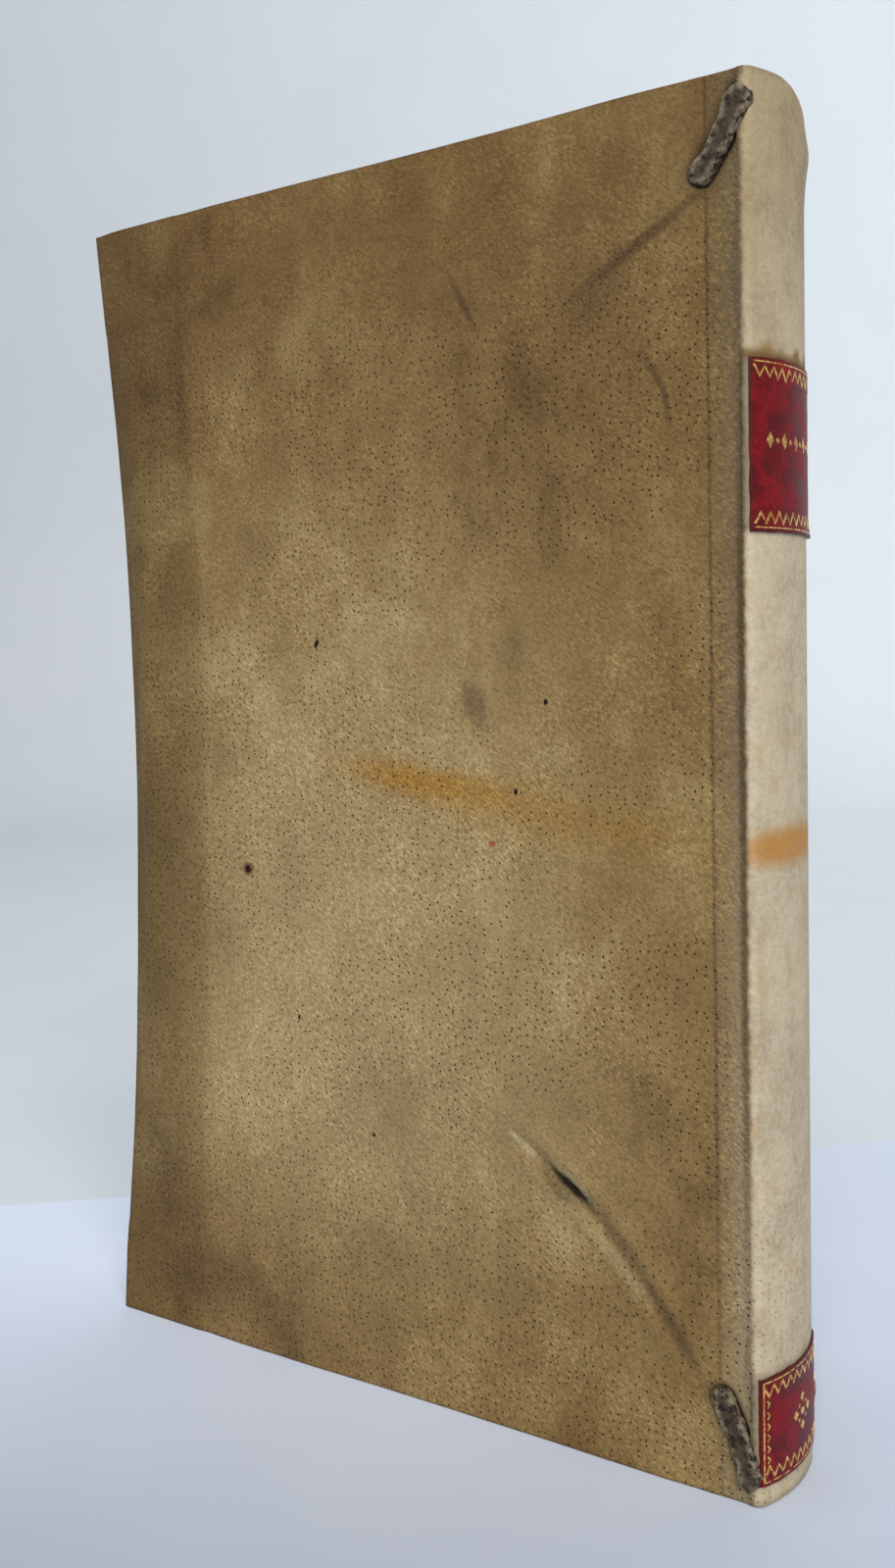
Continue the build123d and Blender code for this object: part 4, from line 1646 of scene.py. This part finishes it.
class BOOK_OT_stage(bpy.types.Operator):
    """Pale floor that sweeps up behind, soft lights and the camera"""

    bl_idname = "book.stage"
    bl_label = "Stage"

    def execute(self, context):
        deselect()
        bpy.ops.mesh.primitive_plane_add(size=4, location=(0, 0, -1.5 * MM))
        floor = bpy.context.object
        floor.name = "floor_sweep"
        unselect_all(floor)
        for edge in floor.data.edges:
            a, b = (floor.data.vertices[v].co for v in edge.vertices)
            edge.select = a.y > 0 and b.y > 0
        bpy.ops.object.mode_set(mode="EDIT")
        bpy.ops.mesh.select_mode(type="EDGE")
        bpy.ops.mesh.extrude_region_move(TRANSFORM_OT_translate={"value": (0, 0, 2.0)})
        bpy.ops.mesh.select_all(action="SELECT")
        bpy.ops.mesh.normals_make_consistent(inside=False)
        bpy.ops.object.mode_set(mode="OBJECT")
        floor.rotation_euler = (0, 0, CAMERA_TURN)
        floor.location += Matrix.Rotation(CAMERA_TURN, 3, "Z") @ Vector((0, -1.0, 0))
        settle(floor)
        apply_modifier(floor, "BEVEL", width=0.3, segments=10, limit_method="ANGLE")
        bpy.ops.object.shade_smooth_by_angle(angle=math.radians(40))
        floor.data.materials.append(card_material("Pale wall card", "dbe3ea", "e2e9f0", 0.00044, 0, 0.86))
        # The cloth that the book stands on ends just behind it.
        deselect()
        bpy.ops.mesh.primitive_grid_add(x_subdivisions=160, y_subdivisions=100, size=1)
        cloth = bpy.context.object
        cloth.name = "floor_cloth"
        cloth.scale = (1.6, 1.0, 1)
        cloth.rotation_euler = (0, 0, CLOTH_TURN)
        cloth.location = CLOTH_EDGE + Matrix.Rotation(CLOTH_TURN, 3, "Z") @ Vector((0, -0.5, 0))
        settle(cloth)
        for vertex in cloth.data.vertices:
            far = smooth(0.07, 0.2, Vector((vertex.co.x, vertex.co.y)).length)
            vertex.co.z += -0.05 * MM + 1.6 * MM * far * noise.noise(vertex.co / 0.09)
        apply_modifier(cloth, "SOLIDIFY", thickness=1 * MM, offset=-1)
        bpy.ops.object.shade_smooth_by_angle(angle=math.radians(40))
        cloth.data.materials.append(
            card_material("White cotton cloth", "cad5ea", "dae4f4", 0.0013, 0.0042, 0.93)
        )
        area_light("window_light", (1.55, -1.875, 2.375), (0, 0, 0.08), 2.0, 94, "fff8ee")
        area_light("fill_light", (-1.4, -1.8, 1.4), (0, 0, 0.08), 2.4, 14, "eef2ff")
        world = bpy.data.worlds.new("soft room")
        context.scene.world = world
        world.use_nodes = True
        background = world.node_tree.nodes["Background"]
        background.inputs["Color"].default_value = rgba(linear("e6ebf2"))
        background.inputs["Strength"].default_value = 0.5
        context.scene.view_settings.view_transform = "Standard"
        deselect()
        bpy.ops.object.camera_add()
        camera = bpy.context.object
        turn = Matrix.Rotation(CAMERA_TURN, 4, "Z") @ Matrix.Rotation(math.pi / 2 + CAMERA_PITCH, 4, "X")
        camera.matrix_world = Matrix.Translation(CAMERA_PLACE) @ turn @ Matrix.Rotation(
            CAMERA_ROLL, 4, "Z"
        )
        camera.data.lens = CAMERA_LENS
        camera.data.sensor_width = 36
        camera.data.clip_start = 0.01
        context.scene.camera = camera
        return {"FINISHED"}


STEPS = (
    "stage", "covers", "spine", "turn_ins", "gatherings",
    "loose_leaves", "laces", "sewing", "endbands", "labels",
)


class BOOK_PT_panel(bpy.types.Panel):
    """Lists the steps and the values that a user can change"""

    bl_idname = "BOOK_PT_panel"
    bl_label = "Prayer Book"
    bl_space_type = "VIEW_3D"
    bl_region_type = "UI"
    bl_category = "Prayer Book"

    def draw(self, context):
        for group in (context.scene.book_sizes, context.scene.book_colours):
            box = self.layout.box()
            for name in group.__annotations__:
                box.prop(group, name)
        for name in STEPS:
            self.layout.operator(f"book.{name}")


CLASSES = (
    BookSizes,
    BookColours,
    BOOK_OT_stage,
    BOOK_OT_covers,
    BOOK_OT_spine,
    BOOK_OT_turn_ins,
    BOOK_OT_gatherings,
    BOOK_OT_loose_leaves,
    BOOK_OT_laces,
    BOOK_OT_sewing,
    BOOK_OT_endbands,
    BOOK_OT_labels,
    BOOK_PT_panel,
)


def register():
    for one in CLASSES:
        bpy.utils.register_class(one)
    bpy.types.Scene.book_sizes = PointerProperty(type=BookSizes)
    bpy.types.Scene.book_colours = PointerProperty(type=BookColours)


def unregister():
    del bpy.types.Scene.book_colours
    del bpy.types.Scene.book_sizes
    for one in reversed(CLASSES):
        bpy.utils.unregister_class(one)


fore_at = fore_edge_x()
LACE_ROUTES = {
    node: lace_route(node)
    for node in ("head_front_lace", "tail_front_lace", "head_back_lace", "tail_back_lace")
}


def main():
    register()
    for name in STEPS:
        getattr(bpy.ops.book, name)()


if __name__ == "__main__":
    main()
